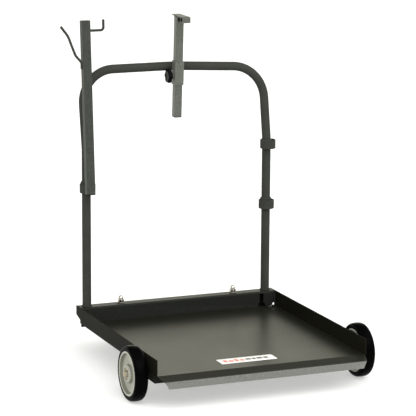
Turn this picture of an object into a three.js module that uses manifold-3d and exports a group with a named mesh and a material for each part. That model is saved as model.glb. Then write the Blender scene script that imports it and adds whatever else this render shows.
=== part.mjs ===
// Drum trolley: a sheet steel tray on two fixed front wheels and two swivel castors, with a
// tubular push frame, a height-adjustable drum hook and a hook post for hose and gun.
// Millimetres, +Z up, -Y is the loading edge. The origin is the middle of the tray floor's top.

import * as THREE from "three";
import { mergeVertices } from "three/addons/utils/BufferGeometryUtils.js";
import Module from "manifold-3d";

const wasm = await Module();
wasm.setup();

// ---------------------------------------------------------------- driving dimensions
const GAP = 0.3; // clearance left between parts that touch

// tray
const TRAY_W = 620; // outside width over the side plates
const TRAY_FRONT = -324.5; // y of the front end of the side plates
const TRAY_REAR = 324.5; // y of the rear face of the rear rail
const SHEET = 3;
const WALL_H = 43.5; // side plates and rear rail above the floor
const RAIL_D = 41.5; // depth of the rear rail
const RAIL_LIP = 29; // rear lip hanging down from the rail
const RAMP_OUT = 31.7; // the ramp runs this far forward of the floor ...
const RAMP_DOWN = 9.6; // ... and this far down
const LIP_OUT = 3.7;
const LIP_DOWN = 19.5;
const TAPER_RAMP = 11.5; // each end of the ramp draws in by this much
const TAPER_LIP = 10;
const SLOT_X0 = 257; // relief slots in the rear wall
const SLOT_X1 = 270;
const SLOT_TOP = 39;
const NOTCH_X0 = 261; // relief notches in the floor's rear corners
const NOTCH_X1 = 298;
const NOTCH_Y = 252;
const BRACKET_Y = 316; // rear corner brackets
const BRACKET_TOP = 33;

// push frame
const TUBE_R = 13;
const TUBE_WALL = 2;
const TUBE_X = 283.2; // tubes stand this far either side of the middle
const TUBE_Y = 306.5;
const KINK_Z = 505.5; // the frame leans back above this height
const LEAN = THREE.MathUtils.degToRad(9.9);
const BAR_Z = 730; // centre of the handle bar at its middle
const BAR_FALL_LEFT = 1.5; // the bar is bent a little lower toward each corner
const BAR_FALL_RIGHT = 15;
const HANDLE_R = 97; // bend radius of the two handle corners
const KINK_R = 30;

// ring collars
const COLLAR_R = 23;
const COLLAR_WALL = 3.4;
const COLLAR_H = 26;
const HUB_R = 16.6;
const COLLARS = [
  // name, tube x, height, ring offset in x and y, rise of the hub above the ring
  ["ring_collar_right_upper", TUBE_X, 488.5, 3.6, -2.6, 1.5],
  ["ring_collar_right_lower", TUBE_X, 307, 1.4, -1.6, 6.5],
  ["ring_collar_left", -TUBE_X, 393, 3.4, -1.8, 6.5],
];

// hook post on the left tube
const POST_SIDE = 25;
const POST_WALL = 2;
const POST_X = -285.2;
const POST_FOOT = [266.8, 383]; // y, z of the centre of the foot
const POST_LEN = 494;
const POST_TILT = THREE.MathUtils.degToRad(4.5);
const ROD_R = 3.7;

// drum post, sleeve, clamp
const SLEEVE_SIDE = 28.6;
const SLEEVE_BORE = 24.2;
const SLEEVE_LEN = 69;
const SLEEVE_X = 4;
const SLEEVE_Y = 318.4;
const SLEEVE_Z = 713.2;
const DRUM_TILT = THREE.MathUtils.degToRad(3); // the drum post leans toward the drum
const DPOST_SIDE = 23;
const DPOST_WALL = 2;
const DPOST_FOOT = -129; // from the sleeve centre, along the post
const DPOST_TOP = 165.8;
const HOOK_W = 24.5;
const HOOK_T = 3;
const HOOK_FRONT = 58.7; // plate reach forward of the post axis
const HOOK_BACK = 27.8;
const HOOK_DROP = 17.5;
const HOOK_LEVEL = THREE.MathUtils.degToRad(2.2); // the plate is nearer level than square to it
const KNOB_Z = -9; // clamp screw below the sleeve centre
const KNOB_R = 21;
const BOSS_R = 9;
const BOSS_LEN = 3.4;
const STUD_R = 5;

// front axle and wheels
const AXLE_Y = -220;
const AXLE_Z = -15.5;
const AXLE_R = 6;
const WHEEL_X = 338; // middle of each tyre
const WHEEL_R = 76.5;
const TYRE_W = 37;
const RIM_R = 61;
const HUB_BORE = 16.8; // pocket for each bearing
const BEAM_FRONT = -309; // cross beam under the floor
const BEAM_REAR = -190;
const BEAM_H = 21;

// rear castors
const CASTOR_X = 178;
const STEM_R = 5;
const CASTOR_R = 37.5;
const CASTOR_TRAIL = 26; // wheel centre behind the stem
const GROUND = AXLE_Z - WHEEL_R;
const CASTOR_WHEEL_Z = GROUND + CASTOR_R;
const PLATE_Z = 1.8; // top of the swivel race

// ---------------------------------------------------------------- materials
const paint = (hex, rough, metal) =>
  new THREE.MeshStandardMaterial({ color: hex, roughness: rough, metalness: metal });
const BLACK_POWDER = ["#3f403b", 0.5, 0.2];
const BLACK_GLOSS = ["#1e2020", 0.3, 0.2];
const CHROME = ["#d9d6cf", 0.12, 1];
const ZINC = ["#b9b8ae", 0.34, 0.9];
const RUBBER = ["#141516", 0.45, 0];
const GREY_PLASTIC = ["#a9aa9c", 0.5, 0];
const BLACK_PLASTIC = ["#191a1b", 0.55, 0];
const WHITE_LABEL = ["#e9e9e4", 0.45, 0];

const group = new THREE.Group();
group.name = "drum_trolley";

function add(name, geometry, finish) {
  const mesh = new THREE.Mesh(geometry, paint(...finish));
  mesh.name = name;
  group.add(mesh);
  return mesh;
}

// ---------------------------------------------------------------- geometry helpers

// One welded, closed body: no seams, no degenerate faces, faces outward.
function weld(geometry) {
  const g = geometry.index ? geometry.toNonIndexed() : geometry.clone();
  g.deleteAttribute("normal");
  g.deleteAttribute("uv");
  const merged = mergeVertices(g, 2e-3);
  const src = merged.index.array;
  const pos = merged.attributes.position;
  const kept = [];
  let volume = 0;
  const [a, b, c] = [new THREE.Vector3(), new THREE.Vector3(), new THREE.Vector3()];
  for (let i = 0; i < src.length; i += 3) {
    const [p, q, r] = [src[i], src[i + 1], src[i + 2]];
    if (p === q || q === r || p === r) continue;
    kept.push(p, q, r);
    a.fromBufferAttribute(pos, p);
    b.fromBufferAttribute(pos, q);
    c.fromBufferAttribute(pos, r);
    volume += a.dot(b.cross(c));
  }
  if (volume < 0) for (let i = 0; i < kept.length; i += 3) kept.splice(i, 2, kept[i + 1], kept[i]);
  merged.setIndex(kept);
  return merged;
}

function toSolid(geometry) {
  const g = weld(geometry);
  return new wasm.Manifold(
    new wasm.Mesh({
      numProp: 3,
      vertProperties: new Float32Array(g.attributes.position.array),
      triVerts: new Uint32Array(g.index.array),
    }),
  );
}

function fromSolid(solid) {
  const mesh = solid.getMesh();
  const g = new THREE.BufferGeometry();
  g.setAttribute("position", new THREE.BufferAttribute(new Float32Array(mesh.vertProperties), 3));
  g.setIndex(new THREE.BufferAttribute(new Uint32Array(mesh.triVerts), 1));
  return g;
}

function cut(base, ...tools) {
  return fromSolid(tools.reduce((solid, tool) => solid.subtract(toSolid(tool)), toSolid(base)));
}

function join(base, ...more) {
  return fromSolid(more.reduce((solid, tool) => solid.add(toSolid(tool)), toSolid(base)));
}

function common(first, second) {
  return fromSolid(toSolid(first).intersect(toSolid(second)));
}

const shapeOf = (points) => new THREE.Shape(points.map(([x, y]) => new THREE.Vector2(x, y)));

function box(x0, x1, y0, y1, z0, z1) {
  const g = new THREE.BoxGeometry(x1 - x0, y1 - y0, z1 - z0);
  return weld(g.translate((x0 + x1) / 2, (y0 + y1) / 2, (z0 + z1) / 2));
}

// A closed outline in (y, z), extruded from x0 to x1.
function alongX(points, x0, x1) {
  const g = new THREE.ExtrudeGeometry(shapeOf(points), { depth: x1 - x0, bevelEnabled: false });
  const [u, v, w] = [new THREE.Vector3(0, 1, 0), new THREE.Vector3(0, 0, 1), new THREE.Vector3(1, 0, 0)];
  g.applyMatrix4(new THREE.Matrix4().makeBasis(u, v, w));
  return weld(g.translate(x0, 0, 0));
}

// A closed outline in (x, y), extruded from z0 to z1.
function alongZ(points, z0, z1) {
  const g = new THREE.ExtrudeGeometry(shapeOf(points), { depth: z1 - z0, bevelEnabled: false });
  return weld(g.translate(0, 0, z0));
}

// A profile of [radius, height] turned about the Z axis.
function turned(profile, segments = 28) {
  const g = new THREE.LatheGeometry(profile.map(([r, h]) => new THREE.Vector2(r, h)), segments);
  return weld(g.rotateX(Math.PI / 2));
}

// The same, laid along +X.
const turnedX = (profile, segments) => turned(profile, segments).rotateY(Math.PI / 2);

// A ring profile: inner and outer radius between two heights, with chamfers where asked for.
function ringProfile(inner, outer, z0, z1, chamfer = 0) {
  const c = chamfer;
  if (c === 0) return [[inner, z0], [outer, z0], [outer, z1], [inner, z1], [inner, z0]];
  return [
    [inner, z0], [outer - c, z0], [outer, z0 + c], [outer, z1 - c], [outer - c, z1], [inner, z1],
    [inner, z0],
  ];
}

function rodProfile(radius, z0, z1, chamfer = 0) {
  const c = chamfer;
  if (c === 0) return [[0, z0], [radius, z0], [radius, z1], [0, z1]];
  return [[0, z0], [radius - c, z0], [radius, z0 + c], [radius, z1 - c], [radius - c, z1], [0, z1]];
}

// A square outline with rounded corners, as points.
function roundedSquare(side, radius, steps = 3, width = side) {
  const points = [];
  for (let corner = 0; corner < 4; corner++) {
    const sx = [1, -1, -1, 1][corner];
    const sy = [1, 1, -1, -1][corner];
    for (let i = 0; i <= steps; i++) {
      const a = (corner + i / steps) * (Math.PI / 2);
      const cx = sx * (width / 2 - radius) + radius * Math.cos(a);
      points.push([cx, sy * (side / 2 - radius) + radius * Math.sin(a)]);
    }
  }
  return points;
}

// Square tube from z0 to z1 about the Z axis.
function squareTube(side, wall, z0, z1, corner = 2.6) {
  const shape = shapeOf(roundedSquare(side, corner));
  shape.holes.push(shapeOf(roundedSquare(side - 2 * wall, Math.max(corner - wall, 0.6), 2)));
  const g = new THREE.ExtrudeGeometry(shape, { depth: z1 - z0, bevelEnabled: false });
  return weld(g.translate(0, 0, z0));
}

// Replaces each inner corner of a polyline by an arc; corners are [point, radius].
function roundedPath(corners, degreesPerStep = 11) {
  const points = [corners[0][0].clone()];
  for (let i = 1; i < corners.length - 1; i++) {
    const [p, radius] = corners[i];
    const back = corners[i - 1][0].clone().sub(p).normalize();
    const ahead = corners[i + 1][0].clone().sub(p).normalize();
    const turn = Math.PI - back.angleTo(ahead);
    const reach = radius * Math.tan(turn / 2);
    const start = p.clone().addScaledVector(back, reach);
    const end = p.clone().addScaledVector(ahead, reach);
    const bisector = back.clone().add(ahead).normalize();
    const centre = p.clone().addScaledVector(bisector, radius / Math.cos(turn / 2));
    const steps = Math.max(2, Math.ceil(THREE.MathUtils.radToDeg(turn) / degreesPerStep));
    const [from, to] = [start.clone().sub(centre), end.clone().sub(centre)];
    const axis = from.clone().cross(to).normalize();
    for (let k = 0; k <= steps; k++)
      points.push(centre.clone().add(from.clone().applyAxisAngle(axis, (turn * k) / steps)));
  }
  points.push(corners.at(-1)[0].clone());
  return points;
}

// A curve whose stations are exactly the given points.
class StationPath extends THREE.Curve {
  constructor(points) {
    super();
    this.points = points;
  }
  at(u) {
    return Math.round(u * (this.points.length - 1));
  }
  getPoint(u) {
    return this.points[this.at(u)].clone();
  }
  getPointAt(u) {
    return this.getPoint(u);
  }
  getTangentAt(u) {
    const i = this.at(u);
    const last = this.points.length - 1;
    const unit = (a, b) => this.points[b].clone().sub(this.points[a]).normalize();
    if (i === 0) return unit(0, 1);
    if (i === last) return unit(last - 1, last);
    return unit(i - 1, i).add(unit(i, i + 1)).normalize();
  }
}

function circle(radius, sides) {
  const points = [];
  for (let i = 0; i < sides; i++) {
    const a = ((i + 0.5) / sides) * Math.PI * 2;
    points.push([radius * Math.cos(a), radius * Math.sin(a)]);
  }
  return points;
}

// A round tube or rod swept along the points.
function swept(points, radius, sides, inner = 0, innerSides = 10) {
  const shape = shapeOf(circle(radius, sides));
  if (inner > 0) shape.holes.push(shapeOf(circle(inner, innerSides)));
  const path = new StationPath(points);
  return weld(new THREE.ExtrudeGeometry(shape, { extrudePath: path, steps: points.length - 1 }));
}

const V = (x, y, z) => new THREE.Vector3(x, y, z);

// The outline of a bent sheet: a centre-line of (y, z) points given a thickness below it.
function bentSheet(line, thickness) {
  const offset = line.map(([y, z], i) => {
    const prev = line[Math.max(i - 1, 0)];
    const next = line[Math.min(i + 1, line.length - 1)];
    const n1 = normal(prev, [y, z], next);
    const n2 = normal([y, z], next, n1);
    const scale = thickness / (1 + n1[0] * n2[0] + n1[1] * n2[1]);
    return [y + (n1[0] + n2[0]) * scale, z + (n1[1] + n2[1]) * scale];
  });
  return [...line, ...offset.reverse()];
}

// Unit normal on the right-hand side of a -> b; falls back on the next leg at a line's end.
function normal(a, b, fallback) {
  const d = [b[0] - a[0], b[1] - a[1]];
  const length = Math.hypot(...d);
  if (length < 1e-9) {
    if (fallback.length === 2 && Math.abs(Math.hypot(...fallback) - 1) < 1e-9) return fallback;
    return normal(b, fallback, [0, -1]);
  }
  return [d[1] / length, -d[0] / length];
}

// A rounded corner in a (y, z) outline, as a run of points.
function arc(cy, cz, radius, from, to, steps = 3) {
  const points = [];
  for (let i = 0; i <= steps; i++) {
    const a = THREE.MathUtils.degToRad(from + ((to - from) * i) / steps);
    points.push([cy + radius * Math.cos(a), cz + radius * Math.sin(a)]);
  }
  return points;
}

// ---------------------------------------------------------------- tray
const INNER_X = TRAY_W / 2 - SHEET - GAP; // sheet pieces that fit between the side plates
const WALL_Y = TRAY_REAR - RAIL_D; // front face of the rear wall

function buildTray() {
  // floor with the ramp and the lip folded down at the front
  const rampEnd = [TRAY_FRONT - RAMP_OUT, -RAMP_DOWN];
  const lipEnd = [rampEnd[0] - LIP_OUT, -RAMP_DOWN - LIP_DOWN];
  const bendAt = (t) => [TRAY_FRONT + 4 - 8 * t, -0.45 * t * t * 2.4];
  const line = [
    lipEnd,
    [rampEnd[0] - 1.2, rampEnd[1] - 3],
    [rampEnd[0] + 1.6, rampEnd[1] + 0.5],
    bendAt(1),
    bendAt(0.5),
    bendAt(0),
    [WALL_Y - GAP, 0],
  ];
  const floor = alongX(bentSheet(line, SHEET), -INNER_X, INNER_X);
  const f = TRAY_W / 2 - 1.5;
  const plan = [
    [-INNER_X - 1, WALL_Y + 5], [-INNER_X - 1, TRAY_FRONT], [-f + TAPER_RAMP, rampEnd[0]],
    [-f + TAPER_RAMP, lipEnd[0] - 5], [f - TAPER_RAMP, lipEnd[0] - 5], [f - TAPER_RAMP, rampEnd[0]],
    [INNER_X + 1, TRAY_FRONT], [INNER_X + 1, WALL_Y + 5],
  ];
  const tapered = common(floor, alongZ(plan, -60, 60));
  // the lip's ends draw in too, seen from the front
  const side = f - TAPER_RAMP;
  const face = shapeOf([
    [-INNER_X - 2, 5], [-INNER_X - 2, -RAMP_DOWN + 3], [-side - 0.5, -RAMP_DOWN - 2],
    [-side + TAPER_LIP, lipEnd[1] - 2], [side - TAPER_LIP, lipEnd[1] - 2],
    [side + 0.5, -RAMP_DOWN - 2], [INNER_X + 2, -RAMP_DOWN + 3], [INNER_X + 2, 5],
  ]);
  const front = new THREE.ExtrudeGeometry(face, { depth: 800, bevelEnabled: false });
  front.rotateX(Math.PI / 2).translate(0, 400, 0);
  // a relief notch in each rear corner
  const notches = [-1, 1].map((s) => {
    const notch = alongZ(roundedSquare(46, 9, 3, NOTCH_X1 - NOTCH_X0), -SHEET - 5, 5);
    return notch.translate((s * (NOTCH_X0 + NOTCH_X1)) / 2, NOTCH_Y + 23, 0);
  });
  add("tray_floor", cut(common(tapered, front), ...notches), BLACK_POWDER);

  // side plates with the cut-away lower rear corner
  const outline = [
    [TRAY_FRONT, -SHEET], [WALL_Y + 7, -SHEET], [WALL_Y + 7, 7], [TRAY_REAR, 17],
    [TRAY_REAR, WALL_H], [TRAY_FRONT, WALL_H],
  ];
  const outer = TRAY_W / 2;
  add("side_plate_left", alongX(outline, -outer, -outer + SHEET), BLACK_POWDER);
  add("side_plate_right", alongX(outline, outer - SHEET, outer), BLACK_POWDER);

  // rear rail: wall, flat top and rear lip, bored for the two castor stems
  const [y0, y1, top] = [WALL_Y, TRAY_REAR, WALL_H];
  const r = 5;
  const profile = [
    [y0, GAP], ...arc(y0 + r, top - r, r, 180, 90), ...arc(y1 - r, top - r, r, 90, 0),
    [y1, top - RAIL_LIP], [y1 - SHEET, top - RAIL_LIP],
    ...arc(y1 - r, top - r, r - SHEET, 0, 90), ...arc(y0 + r, top - r, r - SHEET, 90, 180),
    [y0 + SHEET, GAP],
  ];
  const bores = [-1, 1].map((s) =>
    turned(rodProfile(STEM_R + GAP, top - 12, top + 5), 16).translate(s * CASTOR_X, TUBE_Y, 0),
  );
  // bend reliefs: a slot near the right end, flared at its foot, and a clipped foot at both ends
  const slot = [
    [SLOT_X0 - 3.5, -2], [SLOT_X1 + 4.5, -2], [SLOT_X1 + 4.5, 6.5], [SLOT_X1, 11], [SLOT_X1, SLOT_TOP],
    [SLOT_X0, SLOT_TOP], [SLOT_X0, 11], [SLOT_X0 - 3.5, 6.5],
  ];
  const clip = [
    [INNER_X - 7.5, -2], [INNER_X + 1, -2], [INNER_X + 1, 7], [INNER_X - 5, 7], [INNER_X - 7.5, 4.5],
  ];
  const otherClip = clip.map(([x, z]) => [-x, z]);
  const reliefs = [slot, clip, otherClip].map((points) => {
    const shape = new THREE.ExtrudeGeometry(shapeOf(points), { depth: SHEET + 4, bevelEnabled: false });
    return shape.rotateX(Math.PI / 2).translate(0, WALL_Y + SHEET + 2, 0);
  });
  const rail = cut(alongX(profile, -INNER_X, INNER_X), ...bores, ...reliefs);
  add("rear_rail", rail, BLACK_POWDER);

  // rear corner brackets, clear of the castors: a plate that closes the floor's relief notch from below,
  // turned up inside the rail, with a round bar along its underside
  const under = -SHEET - GAP;
  const bend = [
    [NOTCH_Y - 5, under - SHEET], [BRACKET_Y, under - SHEET], [BRACKET_Y, BRACKET_TOP],
    [BRACKET_Y - SHEET, BRACKET_TOP], [BRACKET_Y - SHEET, under], [NOTCH_Y - 5, under],
  ];
  for (const [side, s] of [["left", -1], ["right", 1]]) {
    const x = s * (TRAY_W / 2 - 31);
    const bar = turnedX(rodProfile(4.5, -30, 30), 14).translate(x, WALL_Y - 1, under - 4.5);
    const [x0, x1] = [s * (NOTCH_X0 - 9), s * (NOTCH_X1 + 2)];
    const plate = alongX(bend, Math.min(x0, x1), Math.max(x0, x1));
    add(`rear_corner_bracket_${side}`, join(plate, bar), BLACK_POWDER);
  }

  // plain information plate on the floor
  const plate = alongZ(roundedSquare(46, 4, 3, 165), GAP, GAP + 0.8);
  add("tray_label_plate", plate.translate(-19, TRAY_FRONT + 69.5, 0), WHITE_LABEL);

  // cross beam that carries the axle: a box open at the bottom, closed at both ends
  const [zTop, zBot] = [-SHEET - GAP, -SHEET - GAP - BEAM_H];
  const x = TRAY_W / 2 - 0.5;
  const shell = cut(
    box(-x, x, BEAM_FRONT, BEAM_REAR, zBot, zTop),
    box(-x + SHEET, x - SHEET, BEAM_FRONT + SHEET, BEAM_REAR - SHEET, zBot - 5, zTop - SHEET),
    turnedX(rodProfile(AXLE_R + GAP, -x - 5, x + 5), 16).translate(0, AXLE_Y, AXLE_Z),
  );
  add("front_cross_beam", shell, BLACK_POWDER);
}

// ---------------------------------------------------------------- push frame
const lean = (z) => TUBE_Y + (z - KINK_Z) * Math.tan(LEAN);

function buildFrame() {
  const foot = WALL_H + GAP;
  const [zLeft, zRight] = [BAR_Z - BAR_FALL_LEFT, BAR_Z - BAR_FALL_RIGHT];
  const corners = [
    [V(-TUBE_X, TUBE_Y, foot), 0],
    [V(-TUBE_X, TUBE_Y, KINK_Z), KINK_R],
    [V(-TUBE_X, lean(zLeft), zLeft), HANDLE_R],
    [V(0, lean(BAR_Z), BAR_Z), 900],
    [V(TUBE_X, lean(zRight), zRight), HANDLE_R],
    [V(TUBE_X, TUBE_Y, KINK_Z), KINK_R],
    [V(TUBE_X, TUBE_Y, foot), 0],
  ];
  const path = roundedPath(corners);
  add("push_frame", swept(path, TUBE_R, 16, TUBE_R - TUBE_WALL, 8), BLACK_GLOSS);

  // ring collars: a wide ring carried off centre by a hub that is bored for the tube
  for (const [name, x, z, dx, dy, rise] of COLLARS) {
    const half = COLLAR_H / 2;
    const ring = turned(ringProfile(COLLAR_R - COLLAR_WALL, COLLAR_R, -half, half), 24);
    const web = turned(rodProfile(COLLAR_R - 1, -half + 2, -half + 8), 24);
    const hub = turned(rodProfile(HUB_R, -half + 1, half + rise), 20).translate(-dx, -dy, 0);
    const bore = turned(rodProfile(TUBE_R + GAP, -half - 5, half + rise + 5), 16);
    const collar = cut(join(ring, web, hub), bore.translate(-dx, -dy, 0));
    add(name, collar.translate(x + dx, TUBE_Y + dy, z), BLACK_GLOSS);
  }
}

// ---------------------------------------------------------------- hook post
function buildHookPost() {
  const place = (g) => g.rotateX(-POST_TILT).translate(POST_X, POST_FOOT[0], POST_FOOT[1]);
  const half = POST_SIDE / 2;
  add("hook_post", place(squareTube(POST_SIDE, POST_WALL, 0, POST_LEN)), BLACK_POWDER);

  // plastic plugs: a pad on the tube's end and a spigot inside it
  const plug = (z, dir) => {
    const pad = alongZ(roundedSquare(POST_SIDE, 2.8), z + dir * GAP, z + dir * (GAP + 2.2));
    const inside = POST_SIDE - 2 * POST_WALL - 2 * GAP;
    const spigot = alongZ(roundedSquare(inside, 1.4), z - dir * 12, z + dir * (GAP + 0.5));
    return join(pad, spigot);
  };
  add("hook_post_top_cap", place(plug(POST_LEN, 1)), BLACK_PLASTIC);
  add("hook_post_bottom_cap", place(plug(0, -1)), BLACK_PLASTIC);

  // small plate welded between the post and the tube
  const pad = box(-9, 9, half + GAP, half + GAP + 3.9, 92, 117);
  add("hook_post_weld_plate", place(pad), BLACK_POWDER);

  // hose hook: a rod welded upright on the left face, bent outward and up
  const x0 = -half - GAP - ROD_R;
  const hose = roundedPath(
    [
      [V(x0, -7, 360), 0], [V(x0, -7, 378), 7], [V(x0 - 17, -7, 397.5), 14],
      [V(x0 - 28.5, -7, 427), 60], [V(x0 - 37.5, -7, 453), 60], [V(x0 - 58.5, -7, 481), 0],
    ],
    16,
  );
  add("hose_hook", place(swept(hose, ROD_R, 10)), BLACK_GLOSS);

  // gun hook: a rod welded on the right face, bent straight up at its end
  const gun = roundedPath(
    [[V(half + GAP, -4, 467), 0], [V(half + 41, -4, 467), 9], [V(half + 41, -4, 496.5), 0]],
    16,
  );
  add("gun_hook", place(swept(gun, ROD_R, 10)), BLACK_GLOSS);
}

// ---------------------------------------------------------------- drum hook and its clamp
function buildDrumHook() {
  const place = (g) => g.rotateX(DRUM_TILT).translate(SLEEVE_X, SLEEVE_Y, SLEEVE_Z);
  const half = SLEEVE_SIDE / 2;
  const alongMinusX = (profile, segments) => turnedX(profile, segments).rotateZ(Math.PI);

  const wall = (SLEEVE_SIDE - SLEEVE_BORE) / 2;
  const sleeve = squareTube(SLEEVE_SIDE, wall, -SLEEVE_LEN / 2, SLEEVE_LEN / 2, 3);
  const hole = alongMinusX(rodProfile(STUD_R + GAP, 5, half + 5), 16).translate(0, 0, KNOB_Z);
  add("clamp_sleeve", place(cut(sleeve, hole)), BLACK_POWDER);

  const boss = alongMinusX(ringProfile(STUD_R + GAP, BOSS_R, half + GAP, half + BOSS_LEN), 16);
  add("clamp_boss", place(boss.translate(0, 0, KNOB_Z)), BLACK_POWDER);

  // clamp screw: its tip bears on the post, its head is moulded into the knob
  const tip = DPOST_SIDE / 2 + GAP;
  const knobFace = half + BOSS_LEN + 1;
  const stud = alongMinusX(rodProfile(STUD_R, tip, knobFace + 10), 16);
  add("clamp_screw", place(stud.translate(0, 0, KNOB_Z)), ZINC);

  const lobes = [];
  const count = 48;
  for (let i = 0; i < count; i++) {
    const a = (i / count) * Math.PI * 2;
    const r = KNOB_R - 3.1 * (0.5 - 0.5 * Math.cos(6 * a)) ** 1.3 - 1.4;
    lobes.push([r * Math.cos(a), r * Math.sin(a)]);
  }
  const star = new THREE.ExtrudeGeometry(shapeOf(lobes), {
    depth: 8, bevelEnabled: true, bevelThickness: 2, bevelSize: 1.4, bevelSegments: 1,
  });
  star.rotateY(-Math.PI / 2).translate(-knobFace - 6, 0, 0);
  const neck = alongMinusX(rodProfile(10.5, knobFace, knobFace + 7), 20);
  const socket = alongMinusX(rodProfile(STUD_R + GAP, knobFace - 5, knobFace + 10 + GAP), 16);
  add("clamp_knob", place(cut(join(star, neck), socket).translate(0, 0, KNOB_Z)), BLACK_PLASTIC);

  // the sliding post with its plug, and the hook plate welded across its top
  add("drum_post", place(squareTube(DPOST_SIDE, DPOST_WALL, DPOST_FOOT, DPOST_TOP)), BLACK_POWDER);
  const inside = DPOST_SIDE - 2 * DPOST_WALL - 2 * GAP;
  const pad = alongZ(roundedSquare(DPOST_SIDE, 2.6), DPOST_FOOT - GAP - 2, DPOST_FOOT - GAP);
  const spigot = alongZ(roundedSquare(inside, 1.4), DPOST_FOOT - GAP - 0.5, DPOST_FOOT + 12);
  add("drum_post_bottom_cap", place(join(pad, spigot)), BLACK_PLASTIC);

  const z = 0;
  const r = 5;
  const front = -HOOK_FRONT;
  const profile = [
    [HOOK_BACK, z], [HOOK_BACK, z + HOOK_T],
    ...arc(front + r, z + HOOK_T - r, r, 90, 180, 4), [front, z + HOOK_T - HOOK_DROP],
    [front + HOOK_T, z + HOOK_T - HOOK_DROP],
    ...arc(front + r, z + HOOK_T - r, r - HOOK_T, 180, 90, 4),
  ];
  const plate = alongX(profile, -HOOK_W / 2, HOOK_W / 2).rotateX(-HOOK_LEVEL);
  add("drum_hook_plate", place(plate.translate(0, 0, DPOST_TOP + GAP + 0.5)), BLACK_POWDER);
}

// ---------------------------------------------------------------- front wheels
function buildFrontWheels() {
  const half = TYRE_W / 2;
  const reach = WHEEL_X + half + 4.5;
  const axle = turnedX(rodProfile(AXLE_R, -reach, reach), 16);
  add("front_axle", axle.translate(0, AXLE_Y, AXLE_Z), ZINC);

  // heights are measured outward from the middle of the tyre
  const tyreProfile = [
    [RIM_R + GAP, -half], [WHEEL_R - 9, -half], [WHEEL_R - 2.4, -half + 4.5], [WHEEL_R, -half + 12],
    [WHEEL_R, half - 12], [WHEEL_R - 2.4, half - 4.5], [WHEEL_R - 9, half], [RIM_R + GAP, half],
    [RIM_R + GAP, -half],
  ];
  const bore = AXLE_R + GAP;
  const face = half + 0.5; // the hub stands this far out from the middle
  const rimProfile = [
    [9, -face + 7], [HUB_BORE, -face + 7], [HUB_BORE, -face], [22, -face], [25, -half + 4],
    [27.5, -half + 10], [RIM_R - 10, -half + 10], [RIM_R - 6, -half + 2.5], [RIM_R - 5, -half],
    [RIM_R, -half], [RIM_R, half],
    [RIM_R - 5, half], [RIM_R - 6, half - 2.5], [RIM_R - 10, half - 10], [27.5, half - 10], [25, half - 4],
    [22, face], [HUB_BORE, face], [HUB_BORE, face - 7], [9, face - 7], [9, -face + 7],
  ];
  for (const [side, s] of [["left", -1], ["right", 1]]) {
    const place = (g, x = WHEEL_X) => {
      if (s < 0) g.rotateZ(Math.PI);
      return g.translate(s * x, AXLE_Y, AXLE_Z);
    };
    add(`front_tyre_${side}`, place(turnedX(tyreProfile, 32)), RUBBER);
    add(`front_rim_${side}`, place(turnedX(rimProfile, 24)), GREY_PLASTIC);
    const bearing = ringProfile(bore, HUB_BORE - GAP, face - 7 + GAP, face - 0.8);
    add(`front_bearing_outer_${side}`, place(turnedX(bearing, 20)), ZINC);
    const mirrored = bearing.map(([r, h]) => [r, -h]);
    add(`front_bearing_inner_${side}`, place(turnedX(mirrored, 20)), ZINC);
    const inner = TRAY_W / 2 - 0.5 + GAP;
    const spacer = ringProfile(bore, 10, inner, WHEEL_X - face + 0.8 - GAP);
    add(`front_spacer_${side}`, place(turnedX(spacer, 16), 0), ZINC);
    const w0 = WHEEL_X + face - 0.8 + GAP;
    add(`front_washer_${side}`, place(turnedX(ringProfile(bore, 11, w0, w0 + 1.8), 16), 0), ZINC);
    const c0 = w0 + 1.8 + GAP;
    const cap = [
      [0, reach + GAP], [bore, reach + GAP], [bore, c0], [9, c0], [9.4, c0 + 1.5], [8.2, reach + 1],
      [4.5, reach + 3.2], [0, reach + 3.9],
    ];
    add(`front_axle_cap_${side}`, place(turnedX(cap, 16), 0), CHROME);
  }
}

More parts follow.
